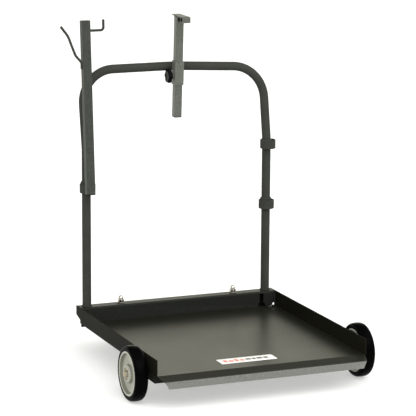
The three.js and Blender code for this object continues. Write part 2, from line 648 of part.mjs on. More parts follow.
// ---------------------------------------------------------------- rear castors
function buildCastors() {
  const railTop = WALL_H;
  const railUnder = WALL_H - SHEET;
  const bore = STEM_R + GAP;
  for (const [side, s] of [["left", -1], ["right", 1]]) {
    const place = (g) => g.translate(s * CASTOR_X, TUBE_Y, 0);
    const top = railTop + GAP;

    // dome nut: a hexagonal foot, a collar and a dome, blind from below
    const hex = alongZ(circle(9.8, 6), top + 2 + GAP, top + 2 + GAP + 8.5);
    const domeZ = top + 2 + GAP + 6;
    const dome = [[0, domeZ], [7.4, domeZ], [7.4, domeZ + 5.5]];
    for (let i = 1; i <= 4; i++) {
      const a = (i / 4) * (Math.PI / 2);
      dome.push([i === 4 ? 0 : 7.4 * Math.cos(a), domeZ + 5.5 + 8.2 * Math.sin(a)]);
    }
    const stemTop = domeZ + 4;
    const blind = turned(rodProfile(bore, top - 5, stemTop + GAP), 16);
    add(`dome_nut_${side}`, place(cut(join(hex, turned(dome, 20)), blind)), CHROME);
    add(`dome_nut_washer_${side}`, place(turned(ringProfile(bore, 10.4, top, top + 2), 20)), CHROME);

    // stem bolt: its head lies under the raceway, its shank runs up to the dome nut
    const stem = join(
      turned(rodProfile(STEM_R, PLATE_Z - 11, stemTop), 16),
      turned(rodProfile(8.5, PLATE_Z - 17, PLATE_Z - 10.6), 6),
    );
    add(`castor_stem_${side}`, place(stem), ZINC);
    const tube = ringProfile(bore, 11, PLATE_Z + GAP, railUnder - GAP);
    add(`castor_spacer_${side}`, place(turned(tube, 16)), BLACK_POWDER);
    const race = ringProfile(bore, 16.6, PLATE_Z - 5, PLATE_Z, 1);
    add(`castor_race_${side}`, place(turned(race, 20)), ZINC);

    // fork: a dished crown on the stem and two cheeks that reach back to the wheel
    const crown = PLATE_Z - 5 - GAP;
    const wz = CASTOR_WHEEL_Z;
    const trail = CASTOR_TRAIL;
    const bridge = alongX([[-21, crown - 5], [-21, crown - 2], [22, crown - 2], [22, crown - 5]], -18, 18);
    const disc = turned([[0, crown - 5], [22, crown - 5], [13, crown], [0, crown]], 20);
    const cheek = [
      [-21, crown - 2], [-21, crown - 9], [-9, wz + 16], [trail - 9, wz - 7], [trail, wz - 10],
      [trail + 8, wz - 7], [trail + 10, wz], [22, crown - 12], [22, crown - 2],
    ];
    const fork = cut(
      join(bridge, disc, alongX(cheek, -18, -15.4), alongX(cheek, 15.4, 18)),
      turned(rodProfile(bore, crown - 10, crown + 5), 16),
      turnedX(rodProfile(4 + GAP, -25, 25), 12).translate(0, trail, wz),
    );
    add(`castor_fork_${side}`, place(fork), ZINC);

    const wheelAt = (g) => place(g.translate(0, trail, wz));
    const tread = [
      [27.5 + GAP, -10], [34, -11.5], [CASTOR_R, -6.5], [CASTOR_R, 6.5], [34, 11.5],
      [27.5 + GAP, 10], [27.5 + GAP, -10],
    ];
    add(`castor_tyre_${side}`, wheelAt(turnedX(tread, 24)), RUBBER);
    const core = [
      [4 + GAP, -14], [9, -14], [9.5, -6], [23, -6], [24, -10], [27.5, -10], [27.5, 10],
      [24, 10], [23, 6], [9.5, 6], [9, 14], [4 + GAP, 14], [4 + GAP, -14],
    ];
    add(`castor_wheel_${side}`, wheelAt(turnedX(core, 20)), GREY_PLASTIC);

    const bolt = join(
      turnedX(rodProfile(4, -18 - GAP - 4, 28), 12),
      turnedX(rodProfile(7.4, -18 - GAP - 5, -18 - GAP), 6),
    );
    add(`castor_axle_bolt_${side}`, wheelAt(bolt), ZINC);
    const nut = cut(
      turnedX(rodProfile(7.4, 18 + GAP, 18 + GAP + 6.5), 6),
      turnedX(rodProfile(4 + GAP, 15, 30), 12),
    );
    add(`castor_axle_nut_${side}`, wheelAt(nut), ZINC);
  }
}

buildTray();
buildFrame();
buildHookPost();
buildDrumHook();
buildFrontWheels();
buildCastors();

export default group;
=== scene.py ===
import random
from math import ceil, cos, degrees, hypot, pi, radians, sin, sqrt, tan

import bmesh
import bpy
from mathutils import Matrix, Vector


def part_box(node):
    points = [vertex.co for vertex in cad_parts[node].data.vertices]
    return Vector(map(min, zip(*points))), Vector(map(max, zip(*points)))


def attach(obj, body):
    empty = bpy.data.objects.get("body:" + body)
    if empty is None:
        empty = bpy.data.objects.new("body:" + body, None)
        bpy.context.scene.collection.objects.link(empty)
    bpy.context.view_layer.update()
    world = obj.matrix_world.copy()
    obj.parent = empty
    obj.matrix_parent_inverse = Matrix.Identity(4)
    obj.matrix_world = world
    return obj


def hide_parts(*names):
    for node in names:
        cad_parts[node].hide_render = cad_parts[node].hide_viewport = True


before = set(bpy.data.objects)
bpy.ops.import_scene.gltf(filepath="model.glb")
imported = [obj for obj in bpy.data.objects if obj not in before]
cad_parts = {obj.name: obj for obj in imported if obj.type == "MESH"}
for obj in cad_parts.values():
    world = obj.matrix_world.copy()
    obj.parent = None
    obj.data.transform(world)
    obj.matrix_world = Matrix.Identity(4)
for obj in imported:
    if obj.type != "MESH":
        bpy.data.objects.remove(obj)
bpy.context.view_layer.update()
MM = 0.001

# ---------- sizes shared with the CAD
TRAY_W, SHEET, GAP = 620.0, 3.0, 0.3
TRAY_FRONT, TRAY_REAR = -324.5, 324.5
WALL_H, RAIL_D, RAIL_LIP = 43.5, 41.5, 29.0
RAMP_OUT, RAMP_DOWN, LIP_OUT, LIP_DOWN = 31.7, 9.6, 3.7, 19.5
TAPER_RAMP, TAPER_LIP = 11.5, 10.0
TUBE_R, TUBE_X, TUBE_Y = 13.0, 283.2, 306.5
KINK_Z, LEAN, KINK_R = 505.5, radians(9.9), 30.0
BAR_Z, BAR_FALL_LEFT, BAR_FALL_RIGHT, HANDLE_R, CROWN_R = 730.0, 1.5, 15.0, 97.0, 900.0
POST_SIDE, POST_X, POST_FOOT = 25.0, -285.2, (266.8, 383.0)
POST_LEN, POST_TILT, POST_WALL, ROD_R = 494.0, radians(4.5), 2.0, 3.7
SLEEVE_SIDE, SLEEVE_BORE, SLEEVE_LEN = 28.6, 24.2, 69.0
SLEEVE_AT, DRUM_TILT = (4.0, 318.4, 713.2), radians(3)
DPOST_SIDE, DPOST_FOOT, DPOST_TOP = 23.0, -129.0, 165.8
HOOK_W, HOOK_T, HOOK_FRONT, HOOK_BACK, HOOK_DROP = 24.5, 3.0, 58.7, 27.8, 17.5
HOOK_LEVEL = radians(2.2)
KNOB_Z, KNOB_R, BOSS_LEN, STUD_R = -9.0, 21.0, 3.4, 5.0
AXLE_Y, AXLE_Z, AXLE_R = -220.0, -15.5, 6.0
WHEEL_X, WHEEL_R, TYRE_W, RIM_R, HUB_BORE = 338.0, 76.5, 37.0, 61.0, 16.8
BEAM_FRONT, BEAM_REAR, BEAM_H = -309.0, -190.0, 21.0
CASTOR_X, CASTOR_R, CASTOR_TRAIL, STEM_R, PLATE_Z = 178.0, 37.5, 26.0, 5.0, 1.8
SLOT_X0, SLOT_X1, SLOT_TOP = 257.0, 270.0, 38.0
NOTCH_X0, NOTCH_X1, NOTCH_Y, NOTCH_R = 261.0, 298.0, 252.0, 9.0
BRACKET_Y, BRACKET_TOP = 316.0, 33.0
INNER_X = TRAY_W / 2 - SHEET - GAP
RAMP_X = TRAY_W / 2 - 1.5 - TAPER_RAMP
WALL_Y = TRAY_REAR - RAIL_D
UNDER_Z = -SHEET - GAP
GROUND = AXLE_Z - WHEEL_R
CASTOR_WHEEL_Z = GROUND + CASTOR_R
COLLARS = [
    ("ring_collar_right_upper", TUBE_X, 488.5, 3.6, -2.6, 1.5),
    ("ring_collar_right_lower", TUBE_X, 307.0, 1.4, -1.6, 6.5),
    ("ring_collar_left", -TUBE_X, 393.0, 3.4, -1.8, 6.5),
]

# ---------- the studio, in metres
FLOOR_REACH, FLOOR_GLOW = 60.0, 0.45
SKY_STRENGTH = 3.0
REAR_SKY = [
    (0.0, (0.5, 0.5, 0.42)), (0.24, (0.5, 0.5, 0.42)), (0.42, (0.17, 0.17, 0.15)),
    (0.66, (0.1, 0.1, 0.09)), (0.9, (0.1, 0.1, 0.1)),
]
FRONT_SKY = [
    (0.0, (0.32, 0.32, 0.31)), (0.42, (0.32, 0.32, 0.31)), (0.6, (1.0, 1.0, 1.0)),
    (0.85, (1.0, 1.0, 1.0)), (1.0, (0.5, 0.5, 0.5)),
]
SKY_TURN = (-0.5, 0.4)
KEY_POWER, KEY_SPREAD, KEY_FROM = 0.8, radians(50), (0.1, -1.0, 0.84)
CAMERA_AT, LENS = (-2.358, -5.597, 1.610), 191.14
YAW, PITCH, ROLL = radians(22.58), radians(11.52), radians(0.37)


# ---------- materials
class Nodes:
    """A small writer for a node tree."""

    def __init__(self, tree, coordinates):
        self.tree = tree
        self.where = self.node("ShaderNodeTexCoord", {}).outputs[coordinates]

    def feed(self, node, inputs):
        """Gives each input a link from another node, a colour or a number."""
        for key, value in inputs.items():
            socket = node.inputs[key]
            if isinstance(value, bpy.types.NodeSocket):
                self.tree.links.new(value, socket)
            else:
                socket.default_value = (*value, 1.0) if socket.type == "RGBA" else value

    def node(self, kind, inputs, **settings):
        node = self.tree.nodes.new(kind)
        for key, value in settings.items():
            setattr(node, key, value)
        self.feed(node, inputs)
        return node

    def noise(self, scale, detail=3.0, rough=0.55, stretch=None):
        where = self.where
        if stretch:
            where = self.node("ShaderNodeMapping", {"Vector": where, "Scale": stretch}).outputs[0]
        inputs = {"Vector": where, "Scale": scale, "Detail": detail, "Roughness": rough}
        return self.node("ShaderNodeTexNoise", inputs).outputs["Fac"]

    def cells(self, scale, feature="F1"):
        inputs = {"Vector": self.where, "Scale": scale}
        return self.node("ShaderNodeTexVoronoi", inputs, feature=feature).outputs["Distance"]

    def axes(self):
        return self.node("ShaderNodeSeparateXYZ", {0: self.where}).outputs

    def ramp(self, out, stops):
        node = self.node("ShaderNodeValToRGB", {0: out})
        elements = node.color_ramp.elements
        for element, (position, colour) in zip(elements, (stops[0], stops[-1])):
            element.position = position
            element.color = (*colour, 1)
        for position, colour in stops[1:-1]:
            elements.new(position).color = (*colour, 1)
        return node.outputs[0]

    def remap(self, out, a0, a1, b0, b1):
        inputs = {"Value": out, "From Min": a0, "From Max": a1, "To Min": b0, "To Max": b1}
        return self.node("ShaderNodeMapRange", inputs).outputs[0]

    def math(self, kind, a, b):
        return self.node("ShaderNodeMath", {0: a, 1: b}, operation=kind).outputs[0]

    def fold(self, kind, first, *rest):
        for part in rest:
            first = self.math(kind, first, part)
        return first

    def mix(self, fac, a, b):
        return self.node("ShaderNodeMix", {0: fac, 6: a, 7: b}, data_type="RGBA").outputs[2]


class Surface(Nodes):
    """A material's nodes, around its Principled shader."""

    def __init__(self, name, base, rough, metal=0.0, ior=1.5):
        self.mat = bpy.data.materials.new(name)
        self.mat.use_nodes = True
        self.mat.diffuse_color = (*base, 1.0)
        super().__init__(self.mat.node_tree, "Object")
        self.shade({"Base Color": base, "Roughness": rough, "Metallic": metal, "IOR": ior})

    def shade(self, inputs):
        self.feed(self.tree.nodes["Principled BSDF"], inputs)

    def colour(self, out):
        self.shade({"Base Color": out})

    def bump(self, out, strength, distance_mm):
        inputs = {"Height": out, "Strength": strength, "Distance": distance_mm * MM}
        self.shade({"Normal": self.node("ShaderNodeBump", inputs).outputs[0]})

    def vary_roughness(self, rough, *offsets):
        """Roughness: rough plus small variations."""
        self.shade({"Roughness": self.fold("ADD", *offsets, rough)})


def scaled(colour, k):
    return tuple(min(c * k, 1.0) for c in colour)


def powder_coat(place, base, rough, grain, ior):
    """Satin powder coat: fine grain, faint clouding, edges a little lighter."""
    n = Surface(f"powder_coat_{place}", base, rough, ior=ior)
    n.shade({"Specular Tint": (1.0, 1.0, 0.84)})
    grit = n.noise(620, 4, 0.7)
    fleck = n.noise(240, 2, 0.5)
    cloud = n.noise(7, 3, 0.5)
    dark, light = scaled(base, 1 - 0.24 * grain), scaled(base, 1 + 0.24 * grain)
    tone = n.mix(n.remap(fleck, 0.34, 0.66, 0, 1), dark, light)
    tone = n.mix(n.remap(cloud, 0.3, 0.7, 0, 0.3), tone, scaled(base, 1.15))
    geometry = n.node("ShaderNodeNewGeometry", {})
    worn = n.remap(geometry.outputs["Pointiness"], 0.53, 0.62, 0.0, 0.55)
    worn = n.math("MULTIPLY", worn, n.remap(n.noise(60, 3, 0.6), 0.4, 0.62, 0.35, 1.0))
    n.colour(n.mix(worn, tone, scaled(base, 2.56)))
    n.vary_roughness(rough, n.remap(fleck, 0.3, 0.7, -0.03, 0.03), n.remap(cloud, 0.3, 0.7, -0.015, 0.02))
    n.bump(grit, 0.2 * grain, 0.16)
    return n.mat


def gloss_paint(name, base, rough, ior):
    """Smoother enamel with a little orange peel."""
    n = Surface(name, base, rough, ior=ior)
    peel = n.noise(210, 2, 0.45)
    cloud = n.noise(14, 3, 0.5)
    dust = n.noise(900, 2, 0.6)
    tone = n.mix(n.remap(cloud, 0.35, 0.65, 0, 1), scaled(base, 0.94), scaled(base, 1.08))
    n.colour(tone)
    n.vary_roughness(rough, n.remap(cloud, 0.3, 0.7, -0.04, 0.05), n.remap(dust, 0.55, 0.75, 0.0, 0.1))
    n.bump(peel, 0.14, 0.3)
    return n.mat


def rubber(name, base, rough):
    """Polished black rubber with a little dust."""
    n = Surface(name, base, rough, ior=1.06)
    cloud = n.noise(30, 4, 0.6)
    grain = n.noise(500, 3, 0.6)
    dust = n.remap(n.noise(90, 4, 0.65), 0.52, 0.72, 0, 0.45)
    n.colour(n.mix(dust, base, scaled(base, 2.6)))
    n.vary_roughness(rough, n.remap(cloud, 0.3, 0.7, -0.05, 0.1))
    n.bump(grain, 0.1, 0.25)
    return n.mat


def plastic(name, base, rough, grain_scale=420, strength=0.15, ior=1.46):
    """Moulded plastic with faint flow marks and a fine leathery grain."""
    n = Surface(name, base, rough, ior=ior)
    flow = n.noise(26, 4, 0.6)
    fleck = n.noise(260, 3, 0.6)
    tone = n.mix(n.remap(flow, 0.35, 0.65, 0, 1), scaled(base, 0.9), scaled(base, 1.08))
    tone = n.mix(n.remap(fleck, 0.55, 0.72, 0, 0.35), tone, scaled(base, 0.7))
    n.colour(tone)
    n.vary_roughness(rough, n.remap(fleck, 0.3, 0.7, -0.05, 0.07))
    n.bump(n.cells(grain_scale), strength, 0.2)
    return n.mat


def metal(name, base, rough, blotch, scratch):
    """Plated metal: spangled tone, dull clouds and fine scratches."""
    n = Surface(name, base, rough, metal=1.0)
    cells = n.cells(170, "SMOOTH_F1")
    cloud = n.noise(60, 4, 0.6)
    lines = n.noise(240, 3, 0.7, stretch=(1.0, 1.0, 9.0))
    tone = n.mix(n.remap(cells, 0.1, 0.7, 0, 1), scaled(base, 1 - blotch), scaled(base, 1 + blotch))
    n.colour(n.mix(n.remap(cloud, 0.5, 0.72, 0, 0.5), tone, scaled(base, 0.72)))
    n.vary_roughness(rough, n.remap(cloud, 0.3, 0.7, -0.03, 0.09), n.remap(lines, 0.45, 0.7, 0, 0.09))
    n.bump(lines, scratch, 0.08)
    return n.mat


PAN = powder_coat("pan", (0.0065, 0.0065, 0.0045), 0.36, 0.6, 1.5)
SIDES = powder_coat("sides", (0.007, 0.0068, 0.0045), 0.5, 0.8, 1.09)
# the rear rail's one coat in two tones by face direction: this lighter tone on its wall is painted light
WALL_PAINTED_LIGHT = powder_coat("wall", (0.014, 0.015, 0.013), 0.5, 0.8, 1.16)
# a far lighter copy of the pan's coat for the forward-facing faces of the floor sheet, its lip: painted
# light
LIP_PAINTED_LIGHT = powder_coat("lip", (0.116, 0.119, 0.111), 0.4, 0.8, 1.5)
# the darker tone for the rail's upward faces: painted shade
FLANGE_PAINTED_SHADE = powder_coat("flange", (0.0065, 0.0065, 0.0045), 0.36, 0.6, 1.24)
POSTS = powder_coat("drum_post", (0.082, 0.087, 0.076), 0.42, 1.1, 1.38)
HOOK = powder_coat("hook_post", (0.037, 0.04, 0.035), 0.42, 1.1, 1.18)
UNDER = powder_coat("under", (0.006, 0.006, 0.0055), 0.5, 0.8, 1.2)
GLOSS = gloss_paint("gloss_black", (0.038, 0.0395, 0.0345), 0.34, 1.06)
CHROME = metal("chrome", (0.5, 0.48, 0.44), 0.08, 0.03, 0.05)
ZINC = metal("zinc_plate", (0.55, 0.55, 0.52), 0.34, 0.14, 0.12)
YELLOW_ZINC = metal("yellow_zinc", (0.42, 0.35, 0.21), 0.26, 0.2, 0.1)
CAP_METAL = metal("axle_cap_metal", (0.33, 0.29, 0.21), 0.22, 0.3, 0.1)
RUBBER = rubber("tyre_rubber", (0.001, 0.001, 0.001), 0.14)
GREY = plastic("grey_plastic", (0.32, 0.325, 0.27), 0.4)
# lighter and darker copies of the rim's grey: painted light on the rim's edge, painted shade in its grooves
GREY_RIM_EDGE_PAINTED_LIGHT = plastic("grey_plastic_rim_edge_painted_light", (0.36, 0.365, 0.31), 0.34)
GREY_GROOVE_PAINTED_SHADE = plastic("grey_plastic_groove_painted_shade", (0.17, 0.17, 0.135), 0.5)
BLACK_PLASTIC = plastic("black_plastic", (0.003, 0.003, 0.003), 0.3, 520, 0.3, 1.1)
WELD = powder_coat("weld", (0.03, 0.03, 0.028), 0.4, 1.4, 1.5)

# the record's slot for each material; the rest are black powder coat
SLOT_OF = {
    GLOSS: "gloss_black_paint", CHROME: "chrome", ZINC: "zinc", YELLOW_ZINC: "zinc", CAP_METAL: "zinc",
    RUBBER: "rubber", GREY: "grey_plastic", BLACK_PLASTIC: "black_plastic",
}


def label_material():
    """White printed plate: a thin grey border and plain coloured blocks, no lettering."""
    n = Surface("label_plate", (0.8, 0.8, 0.78), 0.36)
    low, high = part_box("tray_label_plate")
    x, y, _ = n.axes()
    u = n.remap(x, low.x, high.x, 0, 1)
    v = n.remap(y, low.y, high.y, 0, 1)

    def inside(out, a, b, soft):
        rise = n.remap(out, a - soft, a + soft, 0, 1)
        fall = n.remap(out, b - soft, b + soft, 1, 0)
        return n.math("MULTIPLY", rise, fall)

    def block(u0, u1, v0, v1):
        return n.math("MULTIPLY", inside(u, u0, u1, 0.004), inside(v, v0, v1, 0.012))

    def blocks(spans):
        return n.fold("MAXIMUM", *[block(*span) for span in spans])

    red = blocks([
        (0.08, 0.15, 0.28, 0.74), (0.17, 0.26, 0.28, 0.6), (0.28, 0.35, 0.28, 0.74), (0.37, 0.45, 0.28, 0.6),
    ])
    dark = blocks([(a, b, 0.34, 0.66) for a, b in ((0.475, 0.57), (0.59, 0.66), (0.68, 0.78), (0.8, 0.88))])
    border = n.math("SUBTRACT", block(0.02, 0.98, 0.07, 0.93), block(0.028, 0.972, 0.1, 0.9))
    paper = n.mix(n.remap(n.noise(160, 3), 0.3, 0.7, 0, 1), (0.74, 0.74, 0.715), (0.82, 0.82, 0.8))
    tone = n.mix(n.math("MULTIPLY", border, 0.4), paper, (0.25, 0.25, 0.24))
    tone = n.mix(n.math("MULTIPLY", red, 0.85), tone, (0.6, 0.06, 0.03))
    tone = n.mix(n.math("MULTIPLY", dark, 0.92), tone, (0.02, 0.02, 0.02))
    n.colour(tone)
    n.shade({"Roughness": n.remap(n.noise(220, 3), 0.3, 0.7, 0.3, 0.44)})
    n.bump(n.noise(420, 2), 0.08, 0.1)
    return n.mat


# ---------- making pieces
def placed(name, data):
    """A new object in the scene."""
    thing = bpy.data.objects.new(name, data)
    bpy.context.scene.collection.objects.link(thing)
    return thing


def make(name, shape, mat, body="chassis", slot=None, stands_for=(), sharp=32, bevel=0.0, segments=2):
    """One visible piece from a shape in millimetres."""
    verts, faces = shape
    mesh = bpy.data.meshes.new(name)
    mesh.from_pydata([Vector(v) * MM for v in verts], [], faces)
    bm = bmesh.new()
    bm.from_mesh(mesh)
    bmesh.ops.remove_doubles(bm, verts=bm.verts, dist=1e-6)
    bmesh.ops.recalc_face_normals(bm, faces=bm.faces)
    limit = radians(sharp)
    for face in bm.faces:
        face.smooth = True
    for edge in bm.edges:
        if len(edge.link_faces) == 2 and edge.calc_face_angle(0) > limit:
            edge.smooth = False
    bm.to_mesh(mesh)
    bm.free()
    piece = placed(name, mesh)
    mesh.materials.append(mat)
    if bevel:
        mod = piece.modifiers.new("edge", "BEVEL")
        mod.width = bevel * MM
        mod.segments = segments
        mod.limit_method = "ANGLE"
        mod.angle_limit = limit
        mod = piece.modifiers.new("flat_faces", "WEIGHTED_NORMAL")
        mod.keep_sharp = True
    if slot is None:
        slot = SLOT_OF.get(mat, "black_powder_coat")
    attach(piece, body)
    if stands_for:
        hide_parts(*stands_for)
    return piece


def stand_in(node, finish, shape, mat, **settings):
    """A piece named node_finish, which stands for that CAD node."""
    return make(f"{node}_{finish}", shape, mat, stands_for=[node], **settings)


def turned(node, finish, profile, place, mat, segments=48, limit=None, sharp=40, **settings):
    """A stand-in turned about local Z."""
    shape = moved(lathe(profile, segments, limit), place)
    return stand_in(node, finish, shape, mat, sharp=sharp, **settings)


def recoat(piece, mat, toward):
    """Gives the faces that look along toward a second material."""
    piece.data.materials.append(mat)
    for face in piece.data.polygons:
        if face.normal.dot(Vector(toward)) > 0.9:
            face.material_index = 1


# ---------- shapes: (vertices, faces) in millimetres
def rot_x(angle):
    return Matrix.Rotation(angle, 4, "X")


def at(x, y, z):
    return Matrix.Translation((x, y, z))


# turns local z to x, x to y and y to z
ALONG_X = Matrix(((0, 0, 1, 0), (1, 0, 0, 0), (0, 1, 0, 0), (0, 0, 0, 1)))
ALONG_MINUS_X = Matrix.Rotation(pi, 4, "Z") @ ALONG_X


def moved(shape, matrix):
    verts, faces = shape
    return [matrix @ Vector(v) for v in verts], faces


def merged(*shapes):
    verts, faces = [], []
    for v, f in shapes:
        base = len(verts)
        verts += list(v)
        faces += [[i + base for i in face] for face in f]
    return verts, faces


def loft(rings):
    """Equal rings of points joined by quads, with a face over each end."""
    count = len(rings[0])
    verts = [p for ring in rings for p in ring]
    faces = []
    for i in range(len(rings) - 1):
        a, b = i * count, (i + 1) * count
        for j in range(count):
            k = (j + 1) % count
            faces.append([a + j, a + k, b + k, b + j])
    faces.append(list(range(count))[::-1])
    faces.append([(len(rings) - 1) * count + j for j in range(count)])
    return verts, faces


def lathe(profile, segments, limit=None):
    """[radius, height] pairs turned about Z; limit(angle) may hold the radius in."""
    closed = profile[0] == profile[-1]
    points = profile[:-1] if closed else profile
    verts, faces, rows = [], [], []
    for r, h in points:
        if r <= 1e-9:
            rows.append([len(verts)] * segments)
            verts.append((0, 0, h))
            continue
        rows.append(list(range(len(verts), len(verts) + segments)))
        for a in full_turn(segments)[:-1]:
            radius = min(r, limit(a)) if limit else r
            verts.append((radius * cos(a), radius * sin(a), h))
    pairs = list(zip(rows, rows[1:])) + ([(rows[-1], rows[0])] if closed else [])
    for lo, hi in pairs:
        for j in range(segments):
            k = (j + 1) % segments
            face = []
            for index in (lo[j], lo[k], hi[k], hi[j]):
                if index not in face:
                    face.append(index)
            if len(face) > 2:
                faces.append(face)
    return verts, faces


def hexagon(flats):
    """A radius limit that makes lathe's circles hexagons."""
    def limit(a):
        return flats / 2 / cos((a + pi / 6) % (pi / 3) - pi / 6)
    return limit


def bar_profile(radius, low, high, chamfer):
    """Lathe profile of a solid bar with chamfered ends."""
    return [(0, low), (radius - chamfer, low), (radius, low + chamfer), (radius, high - chamfer),
            (radius - chamfer, high), (0, high)]


def ring_profile(bore, radius, low, high, chamfer):
    """Closed lathe profile of a plain ring with chamfered rims."""
    return [(bore, low), *bar_profile(radius, low, high, chamfer)[1:-1], (bore, high), (bore, low)]


def shoulder(radius, height, out, down, steps):
    """A quarter ellipse from below its centre (radius, height) out to its side."""
    angles = [pi / 2 * i / steps for i in range(steps + 1)]
    return [(radius + out * sin(a), height - down * cos(a)) for a in angles]


def dome(radius, base, rise, start, steps):
    """Lathe profile of a dome, from start degrees up its curve to its tip."""
    angles = [radians(start + (90 - start) * i / steps) for i in range(steps)]
    return [(radius * cos(a), base + rise * sin(a)) for a in angles] + [(0, base + rise)]


def raised(profile, height):
    return [(r, h + height) for r, h in profile]


def mirrored(profile):
    """A profile flipped about height 0, its points in reverse order."""
    return [(r, -h) for r, h in reversed(profile)]


def full_turn(steps):
    """Angles once round a circle, the first one repeated."""
    return [2 * pi * k / steps for k in range(steps + 1)]


def ellipse(x, y, z, rx, ry):
    return [(x + rx * cos(a), y + ry * sin(a), z) for a in full_turn(40)]


def prism(outline, a, b):
    """A flat outline extruded along local Z."""
    return loft([[(x, y, z) for x, y in outline] for z in (a, b)])


def open_prism(outline, a, b, skip):
    """A prism without its first skip side faces, where another shape joins on."""
    verts, faces = prism(outline, a, b)
    return verts, faces[skip:]


def open_at(shape, count, index):
    """A loft of rings of count points without its strip from index to index + 1."""
    verts, faces = shape
    strip = sorted([index, index, (index + 1) % count, (index + 1) % count])
    return verts, [f for f in faces if sorted(i % count for i in f) != strip]


def tube_prism(outer, inner, levels, slots=()):
    """A tube of two equal loops; each (column, level) cell in slots is open through its wall."""
    n = len(outer)
    verts = [(x, y, z) for z in levels for loop in (outer, inner) for x, y in loop]

    def at_corner(level, column, layer):
        return (2 * level + layer) * n + column % n

    def across(a, b):
        return [at_corner(*a, 0), at_corner(*b, 0), at_corner(*b, 1), at_corner(*a, 1)]

    faces = []
    top = len(levels) - 1
    for level in range(top):
        for column in range(n):
            corners = [(level, column), (level, column + 1), (level + 1, column + 1), (level + 1, column)]
            if (column, level) in slots:
                faces += [across(a, b) for a, b in zip(corners, corners[1:] + corners[:1])]
            else:
                faces += [[at_corner(*c, layer) for c in corners] for layer in (0, 1)]
    for level in (0, top):
        faces += [across((level, column), (level, column + 1)) for column in range(n)]
    return verts, faces


def rounded_square(side, radius, steps=6, width=None):
    """A square with rounded corners, or a rectangle if width is given."""
    width = side if width is None else width
    points = []
    for corner, (sx, sy) in enumerate(((1, 1), (-1, 1), (-1, -1), (1, -1))):
        for i in range(steps + 1):
            a = (corner + i / steps) * pi / 2
            points.append((
                sx * (width / 2 - radius) + radius * cos(a),
                sy * (side / 2 - radius) + radius * sin(a),
            ))
    return points


def square_tube(side, wall, z0, z1, radius=2.8):
    outer = rounded_square(side, radius)
    inner = rounded_square(side - 2 * wall, max(radius - wall, 0.7))
    return tube_prism(outer, inner, (z0, z1))


def rounded_path(corners, arc_step):
    """A polyline from (point, radius) corners, its inner ones rounded in steps of arc_step degrees."""
    pts = [Vector(corners[0][0])]
    for (before, _), (here, radius), (after, _) in zip(corners, corners[1:], corners[2:]):
        here, back, ahead = Vector(here), Vector(before), Vector(after)
        back, ahead = (back - here).normalized(), (ahead - here).normalized()
        turn = pi - back.angle(ahead)
        if radius <= 0 or turn < 1e-4:
            pts.append(here)
            continue
        start = here + back * radius * tan(turn / 2)
        centre = here + (back + ahead).normalized() * radius / cos(turn / 2)
        first, end = start - centre, here + ahead * radius * tan(turn / 2) - centre
        axis = first.cross(end).normalized()
        steps = max(2, ceil(degrees(turn) / arc_step))
        for k in range(steps + 1):
            pts.append(centre + Matrix.Rotation(turn * k / steps, 3, axis) @ first)
    pts.append(Vector(corners[-1][0]))
    return pts


def outline_arcs(corners):
    """A closed outline from (x, y, radius) corners."""
    last, first = [((x, y, 0), 0) for x, y, _ in (corners[-1], corners[0])]
    path = rounded_path([last] + [((x, y, 0), r) for x, y, r in corners] + [first], 12)
    return [(p.x, p.y) for p in path[1:-1]]


def dense(points, step):
    """The same polyline with points no further apart than step."""
    out = [points[0]]
    for a, b in zip(points, points[1:]):
        n = max(1, ceil((b - a).length / step))
        out += [a.lerp(b, k / n) for k in range(1, n + 1)]
    return out


def sweep(points, radius, sides, round_ends=False, wave=None):
    """A round rod along points. wave(i, angle) gives each vertex its radius factor."""
    points = [Vector(p) for p in points]
    tangents = []
    for i in range(len(points)):
        a, b = points[max(i - 1, 0)], points[min(i + 1, len(points) - 1)]
        tangents.append((b - a).normalized())
    side = tangents[0].orthogonal().normalized()
    stations = [(i, 0.0, 1.0) for i in range(len(points))]
    if round_ends:
        scales = [sin(radians(4 + 22.5 * k)) for k in range(4)]
        tips = [(0.5 * radius * (1 - scale), scale) for scale in scales]
        stations = [(0, -shift, scale) for shift, scale in tips] + stations
        stations += [(len(points) - 1, shift, scale) for shift, scale in reversed(tips)]
    rings = []
    for i, shift, scale in stations:
        t = tangents[i]
        side = (side - t * side.dot(t)).normalized()
        up = t.cross(side)
        ring = []
        for a in full_turn(sides)[:-1]:
            r = radius * scale * (wave(i, a) if wave else 1.0)
            ring.append(points[i] + t * shift + (side * cos(a) + up * sin(a)) * r)
        rings.append(ring)
    return loft(rings)


def underside(line, thickness):
    """The (y, z) points of a bent sheet's lower face, whose upper face follows line."""
    def normal(a, b):
        d = Vector(b) - Vector(a)
        return Vector((d.y, -d.x)).normalized()

    under = []
    for i, p in enumerate(line):
        n1 = normal(line[i - 1], p) if i else normal(p, line[1])
        n2 = normal(p, line[i + 1]) if i < len(line) - 1 else n1
        q = Vector(p) + (n1 + n2) * thickness / (1 + n1.dot(n2))
        under.append((q.x, q.y))
    return under


def bent_sheet(line, thickness, xs):
    """A loft across xs of the sheet section below line."""
    section = line + underside(line, thickness)[::-1]
    return loft([[(x, *p) for p in section] for x in xs])


def bead(points, radius, seed):
    """A weld bead: a rippled, lumpy run of metal along points."""
    rng = random.Random(seed)
    path = dense([Vector(p) for p in points], 0.7)
    phase = rng.random() * 6
    lump = [rng.uniform(-0.08, 0.08) for _ in range(len(path) // 4 + 2)]

    def wave(i, a):
        ripple = 0.10 * sin(i * 0.7 / 2.3 * 2 * pi + phase + 0.9 * cos(a))
        end = min(1.0, 0.35 + 0.2 * min(i, len(path) - 1 - i))
        return (0.95 + ripple + lump[i // 4]) * end

    return sweep(path, radius, 14, wave=wave)


# ---------- tray
def half_width(y, z):
    """Half the floor sheet's width, which draws in over the ramp and again down the lip."""
    if y >= TRAY_FRONT:
        return INNER_X
    if z < -RAMP_DOWN:
        return RAMP_X - TAPER_LIP * min(1.0, (-RAMP_DOWN - z) / LIP_DOWN)
    return INNER_X + (RAMP_X - INNER_X) * min(1.0, (TRAY_FRONT - y) / RAMP_OUT)


